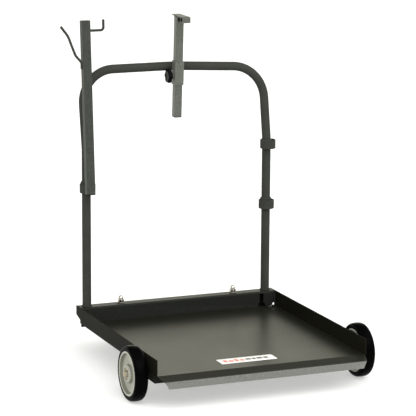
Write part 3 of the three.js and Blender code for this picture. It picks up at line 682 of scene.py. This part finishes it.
def build_floor():
    """The floor sheet: a flat part, and a ramp and lip bent down in front of it."""
    ramp = (TRAY_FRONT - RAMP_OUT, -RAMP_DOWN)
    lip = (ramp[0] - LIP_OUT, ramp[1] - LIP_DOWN)
    flat_y = TRAY_FRONT + 6.0
    corners = [((*lip, 0), 0), ((*ramp, 0), 4.0), ((TRAY_FRONT, 0, 0), 7.0), ((flat_y, 0, 0), 0)]
    top = [(p.x, p.y) for p in rounded_path(corners, 6)]
    under = underside(top, SHEET)
    columns = 14
    spans = [2 * c / columns - 1 for c in range(columns + 1)]
    rings = []
    for s in spans:
        upper = [(s * half_width(y, z), y, z) for y, z in top]
        lower = [(s * half_width(*above), *below) for above, below in zip(top, under)]
        rings.append(upper + lower[::-1])
    nose = open_at(loft(rings), len(rings[0]), len(top) - 1)

    # the flat part has a relief notch in each rear corner
    rear_y = WALL_Y + SHEET
    notch = outline_arcs([
        (NOTCH_X0, rear_y, 0), (NOTCH_X0, NOTCH_Y, NOTCH_R),
        (NOTCH_X1, NOTCH_Y, NOTCH_R), (NOTCH_X1, rear_y, 0),
    ])
    outline = [(s * half_width(flat_y, 0), flat_y) for s in spans]
    outline += [(INNER_X, rear_y)] + notch[::-1] + [(-x, y) for x, y in notch] + [(-INNER_X, rear_y)]
    flat = open_prism(outline, -SHEET, 0, columns)
    floor = stand_in("tray_floor", "sheet", merged(nose, flat), PAN, bevel=0.5)
    # the forward-facing faces, the lip's front, take the lighter copy of the coat: painted light
    recoat(floor, LIP_PAINTED_LIGHT, (0, -1, 0))


def build_side_plates():
    outline = outline_arcs([
        (TRAY_FRONT, -SHEET, 1.2), (WALL_Y + 7, -SHEET, 1.2), (WALL_Y + 7, 7, 2.5), (TRAY_REAR, 17, 2.5),
        (TRAY_REAR, WALL_H, 1.6), (TRAY_FRONT, WALL_H, 1.6),
    ])
    outer = TRAY_W / 2
    for side, x0 in (("left", -outer), ("right", outer - SHEET)):
        shape = moved(prism(outline, x0, x0 + SHEET), ALONG_X)
        stand_in(f"side_plate_{side}", "sheet", shape, SIDES, bevel=0.6, sharp=50)


def build_rear_rail():
    """The flange bent along X, joined at the foot of its bend to a wall with a relief slot."""
    bend_r = 5.0
    bend = WALL_H - bend_r
    corners = [
        ((WALL_Y, bend, 0), 0), ((WALL_Y, WALL_H, 0), bend_r), ((TRAY_REAR, WALL_H, 0), bend_r),
        ((TRAY_REAR, WALL_H - RAIL_LIP, 0), 0),
    ]
    top = [(p.x, p.y) for p in rounded_path(corners, 9)[1:]]
    count = 2 * len(top)
    flange = open_at(bent_sheet(top, SHEET, (-INNER_X, INNER_X)), count, count - 1)

    # the slot flares at its foot, and the wall's lower corners are clipped
    foot, flare, neck, corner = -GAP, 6.5, 11.0, 1.5
    slot = [
        (SLOT_X0 - 3.5, foot), (SLOT_X0 - 3.5, flare), (SLOT_X0, neck), (SLOT_X0, SLOT_TOP - corner),
        (SLOT_X0 + corner, SLOT_TOP), (SLOT_X1 - corner, SLOT_TOP), (SLOT_X1, SLOT_TOP - corner),
        (SLOT_X1, neck), (SLOT_X1 + 4.5, flare), (SLOT_X1 + 4.5, foot),
    ]
    clip = [(INNER_X - 7.5, foot), (INNER_X - 7.5, 4.5), (INNER_X - 5, 7), (INNER_X, 7)]
    outline = [(INNER_X, bend), (-INNER_X, bend)] + [(-x, z) for x, z in clip[::-1]] + slot + clip
    face = Matrix(((1, 0, 0, 0), (0, 0, -1, WALL_Y + SHEET), (0, 1, 0, 0), (0, 0, 0, 1)))
    wall = moved(open_prism(outline, 0, SHEET, 1), face)
    rail = stand_in("rear_rail", "sheet", merged(flange, wall), WALL_PAINTED_LIGHT, bevel=0.4, sharp=50)
    # the upward faces take the darker tone and the wall keeps the lighter one: painted shade and painted
    # light on one coat
    recoat(rail, FLANGE_PAINTED_SHADE, (0, 0, 1))


def build_rear_brackets():
    """A bent plate under each relief notch, with a round bar below it."""
    plate = outline_arcs([
        (NOTCH_Y - 5, UNDER_Z - SHEET, 1), (BRACKET_Y, UNDER_Z - SHEET, 4), (BRACKET_Y, BRACKET_TOP, 1),
        (BRACKET_Y - SHEET, BRACKET_TOP, 1), (BRACKET_Y - SHEET, UNDER_Z, 1.5), (NOTCH_Y - 5, UNDER_Z, 1),
    ])
    bar_r, bar_reach = 4.5, 30
    bar = lathe(bar_profile(bar_r, -bar_reach, bar_reach, 1), 32)
    for side, s in (("left", -1), ("right", 1)):
        x0, x1 = sorted((s * (NOTCH_X0 - 9), s * (NOTCH_X1 + 2)))
        place = at(s * (TRAY_W / 2 - 31), WALL_Y - 1, UNDER_Z - bar_r) @ ALONG_X
        shape = merged(moved(prism(plate, x0, x1), ALONG_X), moved(bar, place))
        stand_in(f"rear_corner_bracket_{side}", "bent", shape, UNDER, sharp=50)


def build_label():
    """The printed plate, a thin sheet with rounded corners and edges."""
    low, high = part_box("tray_label_plate")
    centre = (low + high) / 2 / MM
    w, d = (high.x - low.x) / MM, (high.y - low.y) / MM
    loop = rounded_square(d, 4, 6, w)
    levels = [
        (1, 1, low.z / MM), (1, 1, high.z / MM - 0.3), (1 - 0.3 / w, 1 - 0.5 / d, high.z / MM - 0.08),
        (1 - 1.4 / w, 1 - 1.4 / d, high.z / MM),
    ]
    rings = [[(x * along, y * across, z) for x, y in loop] for along, across, z in levels]
    shape = moved(loft(rings), at(centre.x, centre.y, 0))
    make("tray_label_printed", shape, label_material(), slot="label", stands_for=["tray_label_plate"],
         sharp=60)


def build_axle_beam():
    """The beam over the axle: a box open underneath."""
    top, foot = UNDER_Z, UNDER_Z - BEAM_H

    def corners(inset, z):
        x, front, rear = TRAY_W / 2 - 0.5 - inset, BEAM_FRONT + inset, BEAM_REAR - inset
        return [(-x, front, z), (x, front, z), (x, rear, z), (-x, rear, z)]

    rings = [corners(SHEET, top - SHEET), corners(SHEET, foot), corners(0, foot), corners(0, top)]
    stand_in("front_cross_beam", "box", loft(rings), UNDER, bevel=1.0, segments=3)


def build_tray_welds():
    """Short runs under the side plates, and one up each rear corner of the tray."""
    welds = []
    z = -SHEET - 0.4
    for s in (-1, 1):
        x = s * (TRAY_W / 2 - 3.5)
        for k, y in enumerate((-250, -90, 70, 215)):
            welds.append(bead([(x, y, z), (x, y + 26, z)], 1.7, 10 + k))
        x = s * INNER_X
        welds.append(bead([(x, WALL_Y - 0.6, 9), (x, WALL_Y - 0.6, WALL_H - 6)], 1.1, 30 + s))
    make("tray_weld_runs", merged(*welds), WELD, sharp=60)


# ---------- push frame
def lean(z):
    """The push frame's Y at height z, above its kink."""
    return TUBE_Y + (z - KINK_Z) * tan(LEAN)


def build_frame():
    """One bent tube, from foot to foot over a slightly crowned bar, and its foot welds."""
    left, right = BAR_Z - BAR_FALL_LEFT, BAR_Z - BAR_FALL_RIGHT
    foot = WALL_H + GAP
    path = rounded_path([
        ((-TUBE_X, TUBE_Y, foot), 0), ((-TUBE_X, TUBE_Y, KINK_Z), KINK_R),
        ((-TUBE_X, lean(left), left), HANDLE_R), ((0, lean(BAR_Z), BAR_Z), CROWN_R),
        ((TUBE_X, lean(right), right), HANDLE_R), ((TUBE_X, TUBE_Y, KINK_Z), KINK_R),
        ((TUBE_X, TUBE_Y, foot), 0),
    ], 3)
    stand_in("push_frame", "tube", sweep(path, TUBE_R, 56), GLOSS)
    welds = []
    for s in (-1, 1):
        welds.append(bead(ellipse(s * TUBE_X, TUBE_Y, WALL_H + 0.9, 13.6, 13.4), 1.7, 50 + s))
    make("push_frame_foot_welds", merged(*welds), GLOSS, sharp=60)


def build_collars():
    """Each collar: a cupped ring, and off its centre a hub round the tube with a weld on top."""
    half, outer, inner, chamfer = 13.0, 23.0, 19.6, 0.9
    hub_r, bore, web = 16.6, TUBE_R + 0.15, 15.2
    ring = lathe(raised([
        (web, 2), (inner - 1.5, 2), (inner - 1.5, 0.6), (inner - 0.9, 0), (outer - chamfer, 0),
        (outer, chamfer), (outer, 2 * half - chamfer), (outer - chamfer, 2 * half), (inner + 0.6, 2 * half),
        (inner, 2 * half - 0.6), (inner, 9.2), (inner - 1.2, 8), (web, 8), (web, 2),
    ], -half), 72)
    for name, x, z, dx, dy, rise in COLLARS:
        top = half + rise
        hub = lathe([
            (bore, -half + 1), (hub_r - 0.8, -half + 1), (hub_r, -half + 1.8), (hub_r, top - 1.6),
            (hub_r - 1.2, top - 0.4), (hub_r - 2.2, top), (bore, top), (bore, -half + 1),
        ], 56)
        shape = merged(ring, moved(hub, at(-dx, -dy, 0)))
        shape = moved(shape, at(x + dx, TUBE_Y + dy, z))
        stand_in(name, "detailed", shape, GLOSS, sharp=40)
        weld = bead(ellipse(x, TUBE_Y, z + top + 0.1, 13.6, 13.6), 0.9, int(z))
        make(f"{name}_weld", weld, GLOSS, sharp=60)


# ---------- hook post
def plug(side, wall, z, direction, radius=2.8):
    """A plastic end plug: a rounded pad outside the tube and a spigot inside it."""
    loop = rounded_square(side, radius)
    inner = side - 2 * wall - 2 * GAP
    spigot = [(x * inner / side, y * inner / side) for x, y in loop]
    levels = [(spigot, -12, 0.96), (spigot, -11, 1), (spigot, GAP, 1), (loop, GAP, 0.985),
              (loop, GAP + 0.5, 1), (loop, GAP + 1.3, 1), (loop, GAP + 1.9, 0.965), (loop, GAP + 2.2, 0.9)]
    rings = [[(x * k, y * k, z + direction * h) for x, y in ring] for ring, h, k in levels]
    return loft(rings)


def build_hook_post():
    """The leaning square post with its end plugs, weld pad and two rod hooks."""
    place = at(POST_X, *POST_FOOT) @ rot_x(-POST_TILT)
    half = POST_SIDE / 2
    tube = square_tube(POST_SIDE, POST_WALL, 0, POST_LEN)
    stand_in("hook_post", "tube", moved(tube, place), HOOK, bevel=0.35)
    for end, z, direction, mat in (("top", POST_LEN, 1, HOOK), ("bottom", 0, -1, BLACK_PLASTIC)):
        shape = moved(plug(POST_SIDE, POST_WALL, z, direction), place)
        make(f"hook_post_{end}_plug", shape, mat, slot="black_plastic", stands_for=[f"hook_post_{end}_cap"],
             sharp=40)

    pad_x, pad_low, pad_high = 9, 92, 117
    pad = outline_arcs([
        (-pad_x, pad_low, 1.5), (pad_x, pad_low, 1.5), (pad_x, pad_high, 1.5), (-pad_x, pad_high, 1.5),
    ])
    plate = moved(prism(pad, -half - GAP - 3.9, -half - GAP), place @ rot_x(pi / 2))
    make("hook_post_weld_pad", plate, HOOK, stands_for=["hook_post_weld_plate"], bevel=0.5, sharp=50)

    x0, hose_y = -half - GAP - ROD_R, -7
    hose = rounded_path([
        ((x0, hose_y, 360), 0), ((x0, hose_y, 378), 7), ((x0 - 17, hose_y, 397.5), 14),
        ((x0 - 28.5, hose_y, 427), 60), ((x0 - 37.5, hose_y, 453), 60), ((x0 - 58.5, hose_y, 481), 0),
    ], 4)
    x0, gun_y, gun_z = half + GAP, -4, 467
    gun = rounded_path([
        ((x0, gun_y, gun_z), 0), ((half + 41, gun_y, gun_z), 9), ((half + 41, gun_y, gun_z + 29.5), 0),
    ], 5)
    for node, path in (("hose_hook", hose), ("gun_hook", gun)):
        rod = sweep(dense(path, 4), ROD_R, 28, round_ends=True)
        stand_in(node, "rod", moved(rod, place), GLOSS, sharp=50)

    side, rear = half + 0.4, half + 1
    low, high = pad_low + 1, pad_high - 1
    welds = [bead([(-side, y, 361), (-side, y, 379)], 1.4, seed)
             for y, seed in ((hose_y - 3.6, 3), (hose_y + 3.6, 4))]
    ring = [(side, gun_y + 4.2 * cos(a), gun_z + 4.2 * sin(a)) for a in full_turn(20)]
    welds.append(bead(ring, 1.3, 5))
    welds += [bead([(x, rear, low), (x, rear, high)], 1.3, seed)
              for x, seed in ((-pad_x - 0.5, 6), (pad_x + 0.5, 7))]
    make("hook_post_welds", moved(merged(*welds), place), WELD, sharp=60)


# ---------- drum hook and clamp
def star_knob(face):
    """A six-lobed hand knob with rounded rims and a shallow dish, standing along +Z from face."""
    angles = full_turn(120)[:-1]
    lobes = [KNOB_R - 3.3 * (0.5 - 0.5 * cos(6 * a)) ** 1.25 for a in angles]
    levels = [(4.0, 0.5), (4.2, 0.86), (4.7, 0.945), (5.6, 0.985), (7.2, 1.0), (12.4, 1.0), (14.0, 0.985),
              (15.0, 0.945), (15.6, 0.86), (15.8, 0.72), (15.7, 0.6), (15.0, 0.5), (14.8, 0.2)]
    rings = []
    for z, k in levels:
        lobed = max(0.0, min(1.0, (k - 0.45) / 0.4))
        ring = []
        for a, lobe in zip(angles, lobes):
            r = (lobe * lobed + (KNOB_R - 1.6) * (1 - lobed)) * k
            ring.append((r * cos(a), r * sin(a), face + z))
        rings.append(ring)
    neck = lathe([(0, face), (9.6, face), (10.5, face + 0.9), (10.5, face + 4.4), (0, face + 4.4)], 48)
    return merged(loft(rings), neck)


def build_clamp(place):
    """The sleeve on the handle bar, and its boss, screw and knob on the left side."""
    half = SLEEVE_SIDE / 2
    wall = (SLEEVE_SIDE - SLEEVE_BORE) / 2
    sleeve = square_tube(SLEEVE_SIDE, wall, -SLEEVE_LEN / 2, SLEEVE_LEN / 2, 3.0)
    stand_in("clamp_sleeve", "tube", moved(sleeve, place), POSTS, bevel=0.4)
    side = place @ at(0, 0, KNOB_Z) @ ALONG_MINUS_X
    bore, boss_end = STUD_R + 0.2, half + BOSS_LEN
    boss = [(bore, half), (9, half), (9, boss_end - 0.6), (8.4, boss_end), (bore, boss_end), (bore, half)]
    turned("clamp_boss", "nut", boss, side, POSTS)

    face, tip, pitch = boss_end + 1, DPOST_SIDE / 2 + GAP, 1.2
    thread = [(0, tip)]
    z = tip + pitch / 2
    while z < face + 1:
        thread += [(STUD_R - 0.55, z), (STUD_R - 0.05, z + pitch / 2)]
        z += pitch
    thread += [(STUD_R - 0.3, face + 2), (0, face + 2)]
    turned("clamp_screw", "thread", thread, side, ZINC, 32, body="clamp", sharp=70)
    knob = moved(star_knob(face), side)
    make("clamp_star_knob", knob, BLACK_PLASTIC, body="clamp", stands_for=["clamp_knob"], sharp=50)


def build_drum_post(place):
    """The sliding square post: two slots at the top of its front wall, a plug in its foot."""
    radius, slot_near, slot_far = 2.6, 1.6, 7.6
    outer, inner = rounded_square(DPOST_SIDE, radius), rounded_square(DPOST_SIDE - 2 * POST_WALL, 0.7)
    front = len(outer) * 3 // 4
    for loop in (outer, inner):
        loop[front:front] = [(x, loop[front][1]) for x in (-slot_far, -slot_near, slot_near, slot_far)]
    slots = {(front, 1), (front + 2, 1)}
    levels = (DPOST_FOOT, DPOST_TOP - 15, DPOST_TOP - 3, DPOST_TOP)
    post = moved(tube_prism(outer, inner, levels, slots), place)
    stand_in("drum_post", "tube", post, POSTS, body="drum_hook", bevel=0.35)
    foot = moved(plug(DPOST_SIDE, POST_WALL, DPOST_FOOT, -1, radius), place)
    make("drum_post_bottom_plug", foot, BLACK_PLASTIC, body="drum_hook", stands_for=["drum_post_bottom_cap"],
         sharp=40)


def build_hook_plate(place):
    """The hook plate, flat on the post's top and bent down in front, with its welds."""
    level = place @ at(0, 0, DPOST_TOP + GAP + 0.5) @ rot_x(-HOOK_LEVEL)
    corners = [((-HOOK_FRONT, HOOK_T - HOOK_DROP, 0), 0), ((-HOOK_FRONT, HOOK_T, 0), 5),
               ((HOOK_BACK, HOOK_T, 0), 0)]
    top = [(p.x, p.y) for p in dense(rounded_path(corners, 9), 3)]
    columns = 10
    plate = bent_sheet(top, HOOK_T, [(2 * c / columns - 1) * HOOK_W / 2 for c in range(columns + 1)])
    hook = make("drum_hook_bent_plate", moved(plate, level), POSTS, body="drum_hook",
                stands_for=["drum_hook_plate"], bevel=0.7, segments=3)
    # the upward faces take the pan's much darker coat: painted shade on the plate's top
    recoat(hook, PAN, (0, 0, 1))
    h = DPOST_SIDE / 2 + 0.4
    welds = [bead([(x, -h + 1, DPOST_TOP), (x, h - 1, DPOST_TOP)], 1.4, seed)
             for x, seed in ((-h, 61), (h, 62))]
    welds.append(bead([(-h + 1, h, DPOST_TOP + 0.2), (h - 1, h, DPOST_TOP + 0.2)], 1.3, 63))
    make("drum_hook_welds", moved(merged(*welds), place), WELD, body="drum_hook", sharp=60)


def build_sleeve_welds():
    """The sleeve's welds to the handle bar: above it, below it and down the sleeve's edges."""
    x, half = SLEEVE_AT[0], SLEEVE_SIDE / 2
    back = SLEEVE_AT[1] + half
    off_bar = 6.5
    y = min(lean(BAR_Z) - sqrt(TUBE_R**2 - off_bar**2) - 0.4, back + 2.2)
    welds = []
    for k, s in enumerate((-1, 1)):
        z = BAR_Z + s * off_bar
        welds.append(bead([(x - half + 2, y, z), (x + half - 2, y, z)], 2.2, 70 + k))
    for k, s in enumerate((-1, 1)):
        edge = x + s * (half - 1.2)
        welds.append(bead([(edge, back + 0.9, BAR_Z - 7), (edge, back + 0.6, BAR_Z + 7)], 1.8, 80 + k))
    make("sleeve_to_bar_welds", merged(*welds), GLOSS, sharp=60)


def build_drum_hook():
    place = at(*SLEEVE_AT) @ rot_x(DRUM_TILT)
    build_clamp(place)
    build_drum_post(place)
    build_hook_plate(place)
    build_sleeve_welds()


# ---------- wheels
def tyre_profile():
    """A rounded tread with a low crown, and a bead with a groove on each side."""
    seat, tread = RIM_R + GAP, 11.5
    side = [(seat, 1), (seat + 1.2, 0.2), (seat + 3.4, 0.1), (seat + 4.2, 0.7), (seat + 4.9, 0.2)]
    side = raised(side + shoulder(WHEEL_R - 9.2, tread, 8.6, 11.3, 8), -TYRE_W / 2)
    crown = [(WHEEL_R - 0.6 + 0.6 * sin(pi * i / 8), (TYRE_W / 2 - tread) * (i / 4 - 1))
             for i in range(1, 8)]
    return side + crown + mirrored(side) + side[:1]


def rim_profile():
    """Two dished faces, each from the rim's edge in over the hub to the bearing's seat."""
    face = raised([
        (RIM_R, -1.2), (RIM_R - 0.6, -0.4), (RIM_R - 1.6, -0.1), (RIM_R - 4.2, -0.3), (RIM_R - 5.2, -1.2),
        (RIM_R - 5.8, -3.4), (RIM_R - 7.0, -7.6), (RIM_R - 9.4, -9.6), (RIM_R - 13, -10.4), (31, -11.0),
        (28, -10.4), (26.2, -8.8), (24.6, -3.2), (23.4, -0.6), (21.8, 0.6), (18.2, 1.0), (17.2, 0.4),
        (HUB_BORE, -3.4), (9.0, -3.8),
    ], TYRE_W / 2)
    return face + mirrored(face) + face[:1]


def colour_rim(wheel):
    """A lighter rim edge, painted light, and darker grooves inside it and round the hub, painted shade."""
    wheel.data.materials.append(GREY_RIM_EDGE_PAINTED_LIGHT)
    wheel.data.materials.append(GREY_GROOVE_PAINTED_SHADE)
    for face in wheel.data.polygons:
        r = hypot(face.center.y / MM - AXLE_Y, face.center.z / MM - AXLE_Z)
        if r > RIM_R - 5.4:
            face.material_index = 1
        # the grooves inside the edge and round the hub: painted shade
        elif r > RIM_R - 8.5 or 24.0 < r < 26.4:
            face.material_index = 2


def build_front_wheels():
    """The axle, both wheels with their bearing rings, and what holds them on the axle."""
    half, bore = TYRE_W / 2, AXLE_R + 0.2
    reach = WHEEL_X + half + 4.5
    axle = at(0, AXLE_Y, AXLE_Z)
    turned("front_axle", "rod", bar_profile(AXLE_R, -reach, reach, 1), axle @ ALONG_X, ZINC, 40)
    tyre, rim = tyre_profile(), rim_profile()
    shield = raised([
        (AXLE_R + 0.4, -0.4), (16.2, -0.4), (16.2, 1.6), (15.2, 2.1), (13.6, 2.1), (12.8, 1.2),
        (AXLE_R + 4.4, 1.0), (AXLE_R + 3.8, 1.9), (AXLE_R + 0.4, 1.9), (AXLE_R + 0.4, -0.4),
    ], half - 3.2)
    for side, s, outwards in (("left", -1, ALONG_MINUS_X), ("right", 1, ALONG_X)):
        place = at(s * WHEEL_X, AXLE_Y, AXLE_Z) @ outwards
        body = f"front_wheel_{side}"
        turned(f"front_tyre_{side}", "moulded", tyre, place, RUBBER, 112, body=body, sharp=45)
        wheel = turned(f"front_rim_{side}", "moulded", rim, place, GREY, 96, body=body, sharp=45)
        colour_rim(wheel)
        for end, ring in (("outer", shield), ("inner", mirrored(shield))):
            turned(f"front_bearing_{end}_{side}", "ring", ring, place, YELLOW_ZINC, 56, body=body)

        # along the axle: a spacer inside the wheel, then a washer and a push cap outside it
        hub = axle @ outwards
        low, high = TRAY_W / 2 - 0.5 + GAP, WHEEL_X - half + 0.3 - GAP
        turned(f"front_spacer_{side}", "ring", ring_profile(bore, 10, low, high, 0.6), hub, ZINC, 40)
        low = WHEEL_X + half - 0.3 + GAP
        high = low + 1.8
        turned(f"front_washer_{side}", "ring", ring_profile(bore, 11, low, high, 0.4), hub, ZINC)
        low = high + GAP
        rise = reach + 2.5 - low
        cap = [(bore, low), (8.8, low), (9.4, low + 0.4), (9.4, low + 1.5), (8.9, low + 2.2)]
        cap += dome(8.9, low + 1.4, rise, 15, 6)
        make(f"front_axle_push_cap_{side}", moved(lathe(cap, 48), hub), CAP_METAL,
             stands_for=[f"front_axle_cap_{side}"], sharp=40)


# ---------- rear castors
def build_castor_mount(side, place):
    """From the rail's top down: dome nut, washer, bolt, spacer and race."""
    top = WALL_H + GAP
    z = top + 2 + GAP
    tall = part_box(f"dome_nut_{side}")[1].z / MM
    nut = [(0, 0), (8.6, 0), (9.9, 0.9), (9.9, 6.6), (8.9, 7.9), (7.6, 8.4), (7.4, 9)]
    nut = raised(nut + dome(7.4, 11.5, tall - z - 11.5, 0, 8), z)
    turned(f"dome_nut_{side}", "polished", nut, place, CHROME, 72, hexagon(17.0), sharp=30)
    turned(f"dome_nut_washer_{side}", "ring", ring_profile(5.6, 10.4, top, top + 2, 0.4), place, CHROME)

    bore = STEM_R + 0.3
    stem = raised([(0, -17), (7.6, -17), (8.6, -16.2), (8.6, -11.2), (7.8, -10.6), (STEM_R, -10.6)], PLATE_Z)
    stem += [(STEM_R, top - 2), (0, top - 2)]
    turned(f"castor_stem_{side}", "bolt", stem, place, ZINC, 60, hexagon(14.6), sharp=35)
    tube = ring_profile(bore, 11, PLATE_Z + GAP, WALL_H - SHEET - GAP, 0.6)
    turned(f"castor_spacer_{side}", "tube", tube, place, UNDER, 40)
    race = [(bore, -5), (14.6, -5), (15.4, -4.4), (16.0, -3.2), (16.6, -2.8), (16.6, -1.2), (16.0, -0.3),
            (15.2, 0), (bore, 0), (bore, -5)]
    turned(f"castor_race_{side}", "ring", raised(race, PLATE_Z), place, ZINC)


def fork_shape():
    """A pressed fork: a dished crown disc and a bridge, and a cheek on each side of the wheel."""
    crown, bore = PLATE_Z - 5 - GAP, STEM_R + 0.3
    half, sheet = 18, 2.6
    disc = [(bore, -4.8), (21.4, -4.8), (22, -4.2), (20.4, -3.0), (15.6, -1.6), (13.4, -0.4), (12.4, 0),
            (bore, 0), (bore, -4.8)]
    disc = lathe(raised(disc, crown), 56)
    front, rear = -21, 22
    bridge = outline_arcs([
        (front, crown - 5, 0.8), (rear, crown - 5, 0.8), (rear, crown - 2, 1.2), (front, crown - 2, 1.2),
    ])
    y, z = CASTOR_TRAIL, CASTOR_WHEEL_Z
    cheek = outline_arcs([
        (front, crown - 2.2, 2), (front, crown - 9, 3), (-9, z + 16, 8), (y - 9, z - 7, 4), (y, z - 10, 5),
        (y + 8, z - 7, 5), (y + 10, z, 5), (rear, crown - 12, 8), (rear, crown - 2.2, 2),
    ])
    cheeks = [prism(cheek, -half, -half + sheet), prism(cheek, half - sheet, half)]
    return merged(disc, moved(merged(prism(bridge, -half, half), *cheeks), ALONG_X))


def build_castor_wheel(side, hub):
    """The roller, and the bolt and nut that hold it in the fork."""
    roller, fork = f"castor_roller_{side}", f"castor_{side}"
    seat = 27.8
    half_tread = [(seat, -10.4), (31, -11), (33.4, -11.3), *shoulder(CASTOR_R - 4.6, -6.6, 4.6, 4.7, 6)]
    tread = half_tread + [(CASTOR_R, 0)] + mirrored(half_tread) + half_tread[:1]
    turned(f"castor_tyre_{side}", "moulded", tread, hub, RUBBER, 80, body=roller, sharp=45)
    half_core = [(4.3, -14), (8.4, -14), (9, -13.4), (9.4, -7), (10.6, -6), (21.6, -5.6), (23.2, -6.6),
                 (24, -9.6), (24.8, -10.2), (27, -10.2), (27.5, -9.6)]
    core = half_core + mirrored(half_core) + half_core[:1]
    turned(f"castor_wheel_{side}", "moulded", core, hub, GREY, 64, body=roller, sharp=45)

    e = 18 + GAP
    hexagonal = hexagon(12.8)
    head = [(0, -e), (6.9, -e), (7.5, -e - 0.5), (7.5, -e - 4.2), (6.6, -e - 5), (0, -e - 5)]
    shank = [(0, -e + 0.2), (4, -e + 0.2), (4, 27.4), (3.4, 28), (0, 28)]
    bolt = merged(lathe(shank, 32), lathe(head, 48, hexagonal))
    stand_in(f"castor_axle_bolt_{side}", "hex", moved(bolt, hub), ZINC, body=fork, sharp=35)
    nut = [(4.1, e), (6.6, e), (7.5, e + 0.7), (7.5, e + 5.8), (6.6, e + 6.5), (4.1, e + 6.5), (4.1, e)]
    turned(f"castor_axle_nut_{side}", "hex", nut, hub, ZINC, 48, hexagonal, body=fork, sharp=35)


def build_castors():
    for side, s in (("left", -1), ("right", 1)):
        place = at(s * CASTOR_X, TUBE_Y, 0)
        build_castor_mount(side, place)
        fork = moved(fork_shape(), place)
        stand_in(f"castor_fork_{side}", "pressed", fork, ZINC, body=f"castor_{side}", sharp=45, bevel=0.5)
        build_castor_wheel(side, place @ at(0, CASTOR_TRAIL, CASTOR_WHEEL_Z) @ ALONG_X)


# ---------- stage
def build_floor_plane():
    """A pale floor under the wheels, glowing faintly so that its shadows stay light."""
    mesh = bpy.data.meshes.new("studio_floor")
    bm = bmesh.new()
    bmesh.ops.create_grid(bm, x_segments=12, y_segments=12, size=FLOOR_REACH)
    bmesh.ops.translate(bm, verts=bm.verts, vec=(0, 0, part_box("front_tyre_left")[0].z))
    bm.to_mesh(mesh)
    bm.free()
    floor = placed("studio_floor", mesh)
    n = Surface("pale_floor", (0.57, 0.57, 0.565), 0.9, ior=1.2)
    cloud = n.remap(n.noise(0.6, 2), 0.3, 0.7, 0, 1)
    n.colour(n.mix(cloud, (0.56, 0.56, 0.555), (0.58, 0.58, 0.575)))
    n.shade({"Emission Color": (1.0, 1.0, 0.99), "Emission Strength": FLOOR_GLOW})
    mesh.materials.append(n.mat)


def build_sky():
    """A soft dome of light, bright high up in front of the trolley and dim high up behind it."""
    world = bpy.data.worlds.new("studio")
    bpy.context.scene.world = world
    world.use_nodes = True
    n = Nodes(world.node_tree, "Generated")
    _, y, z = n.axes()
    sky = n.mix(n.remap(y, *SKY_TURN, 0, 1), n.ramp(z, FRONT_SKY), n.ramp(z, REAR_SKY))
    n.feed(n.tree.nodes["Background"], {"Color": sky, "Strength": SKY_STRENGTH})


def build_key_light():
    """A weak, very wide sun from the front and above."""
    sun = bpy.data.lights.new("key", "SUN")
    sun.energy = KEY_POWER
    sun.angle = KEY_SPREAD
    lamp = placed("key", sun)
    lamp.rotation_euler = (-Vector(KEY_FROM)).to_track_quat("-Z", "Y").to_euler()


def build_camera():
    """A long lens to the front left, looking a little down at the trolley."""
    forward = Vector((sin(YAW) * cos(PITCH), cos(YAW) * cos(PITCH), -sin(PITCH)))
    level = forward.cross(Vector((0, 0, 1))).normalized()
    upright = level.cross(forward)
    right = level * cos(ROLL) + upright * sin(ROLL)
    up = upright * cos(ROLL) - level * sin(ROLL)
    data = bpy.data.cameras.new("camera")
    data.sensor_width = 36
    data.lens = LENS
    data.clip_end = 200
    camera = placed("camera", data)
    camera.matrix_world = Matrix.Translation(CAMERA_AT) @ Matrix((right, up, -forward)).transposed().to_4x4()
    bpy.context.scene.camera = camera


bpy.context.scene.view_settings.view_transform = "Standard"
build_floor()
build_side_plates()
build_rear_rail()
build_rear_brackets()
build_label()
build_axle_beam()
build_tray_welds()
build_frame()
build_collars()
build_hook_post()
build_drum_hook()
build_front_wheels()
build_castors()
build_floor_plane()
build_sky()
build_key_light()
build_camera()
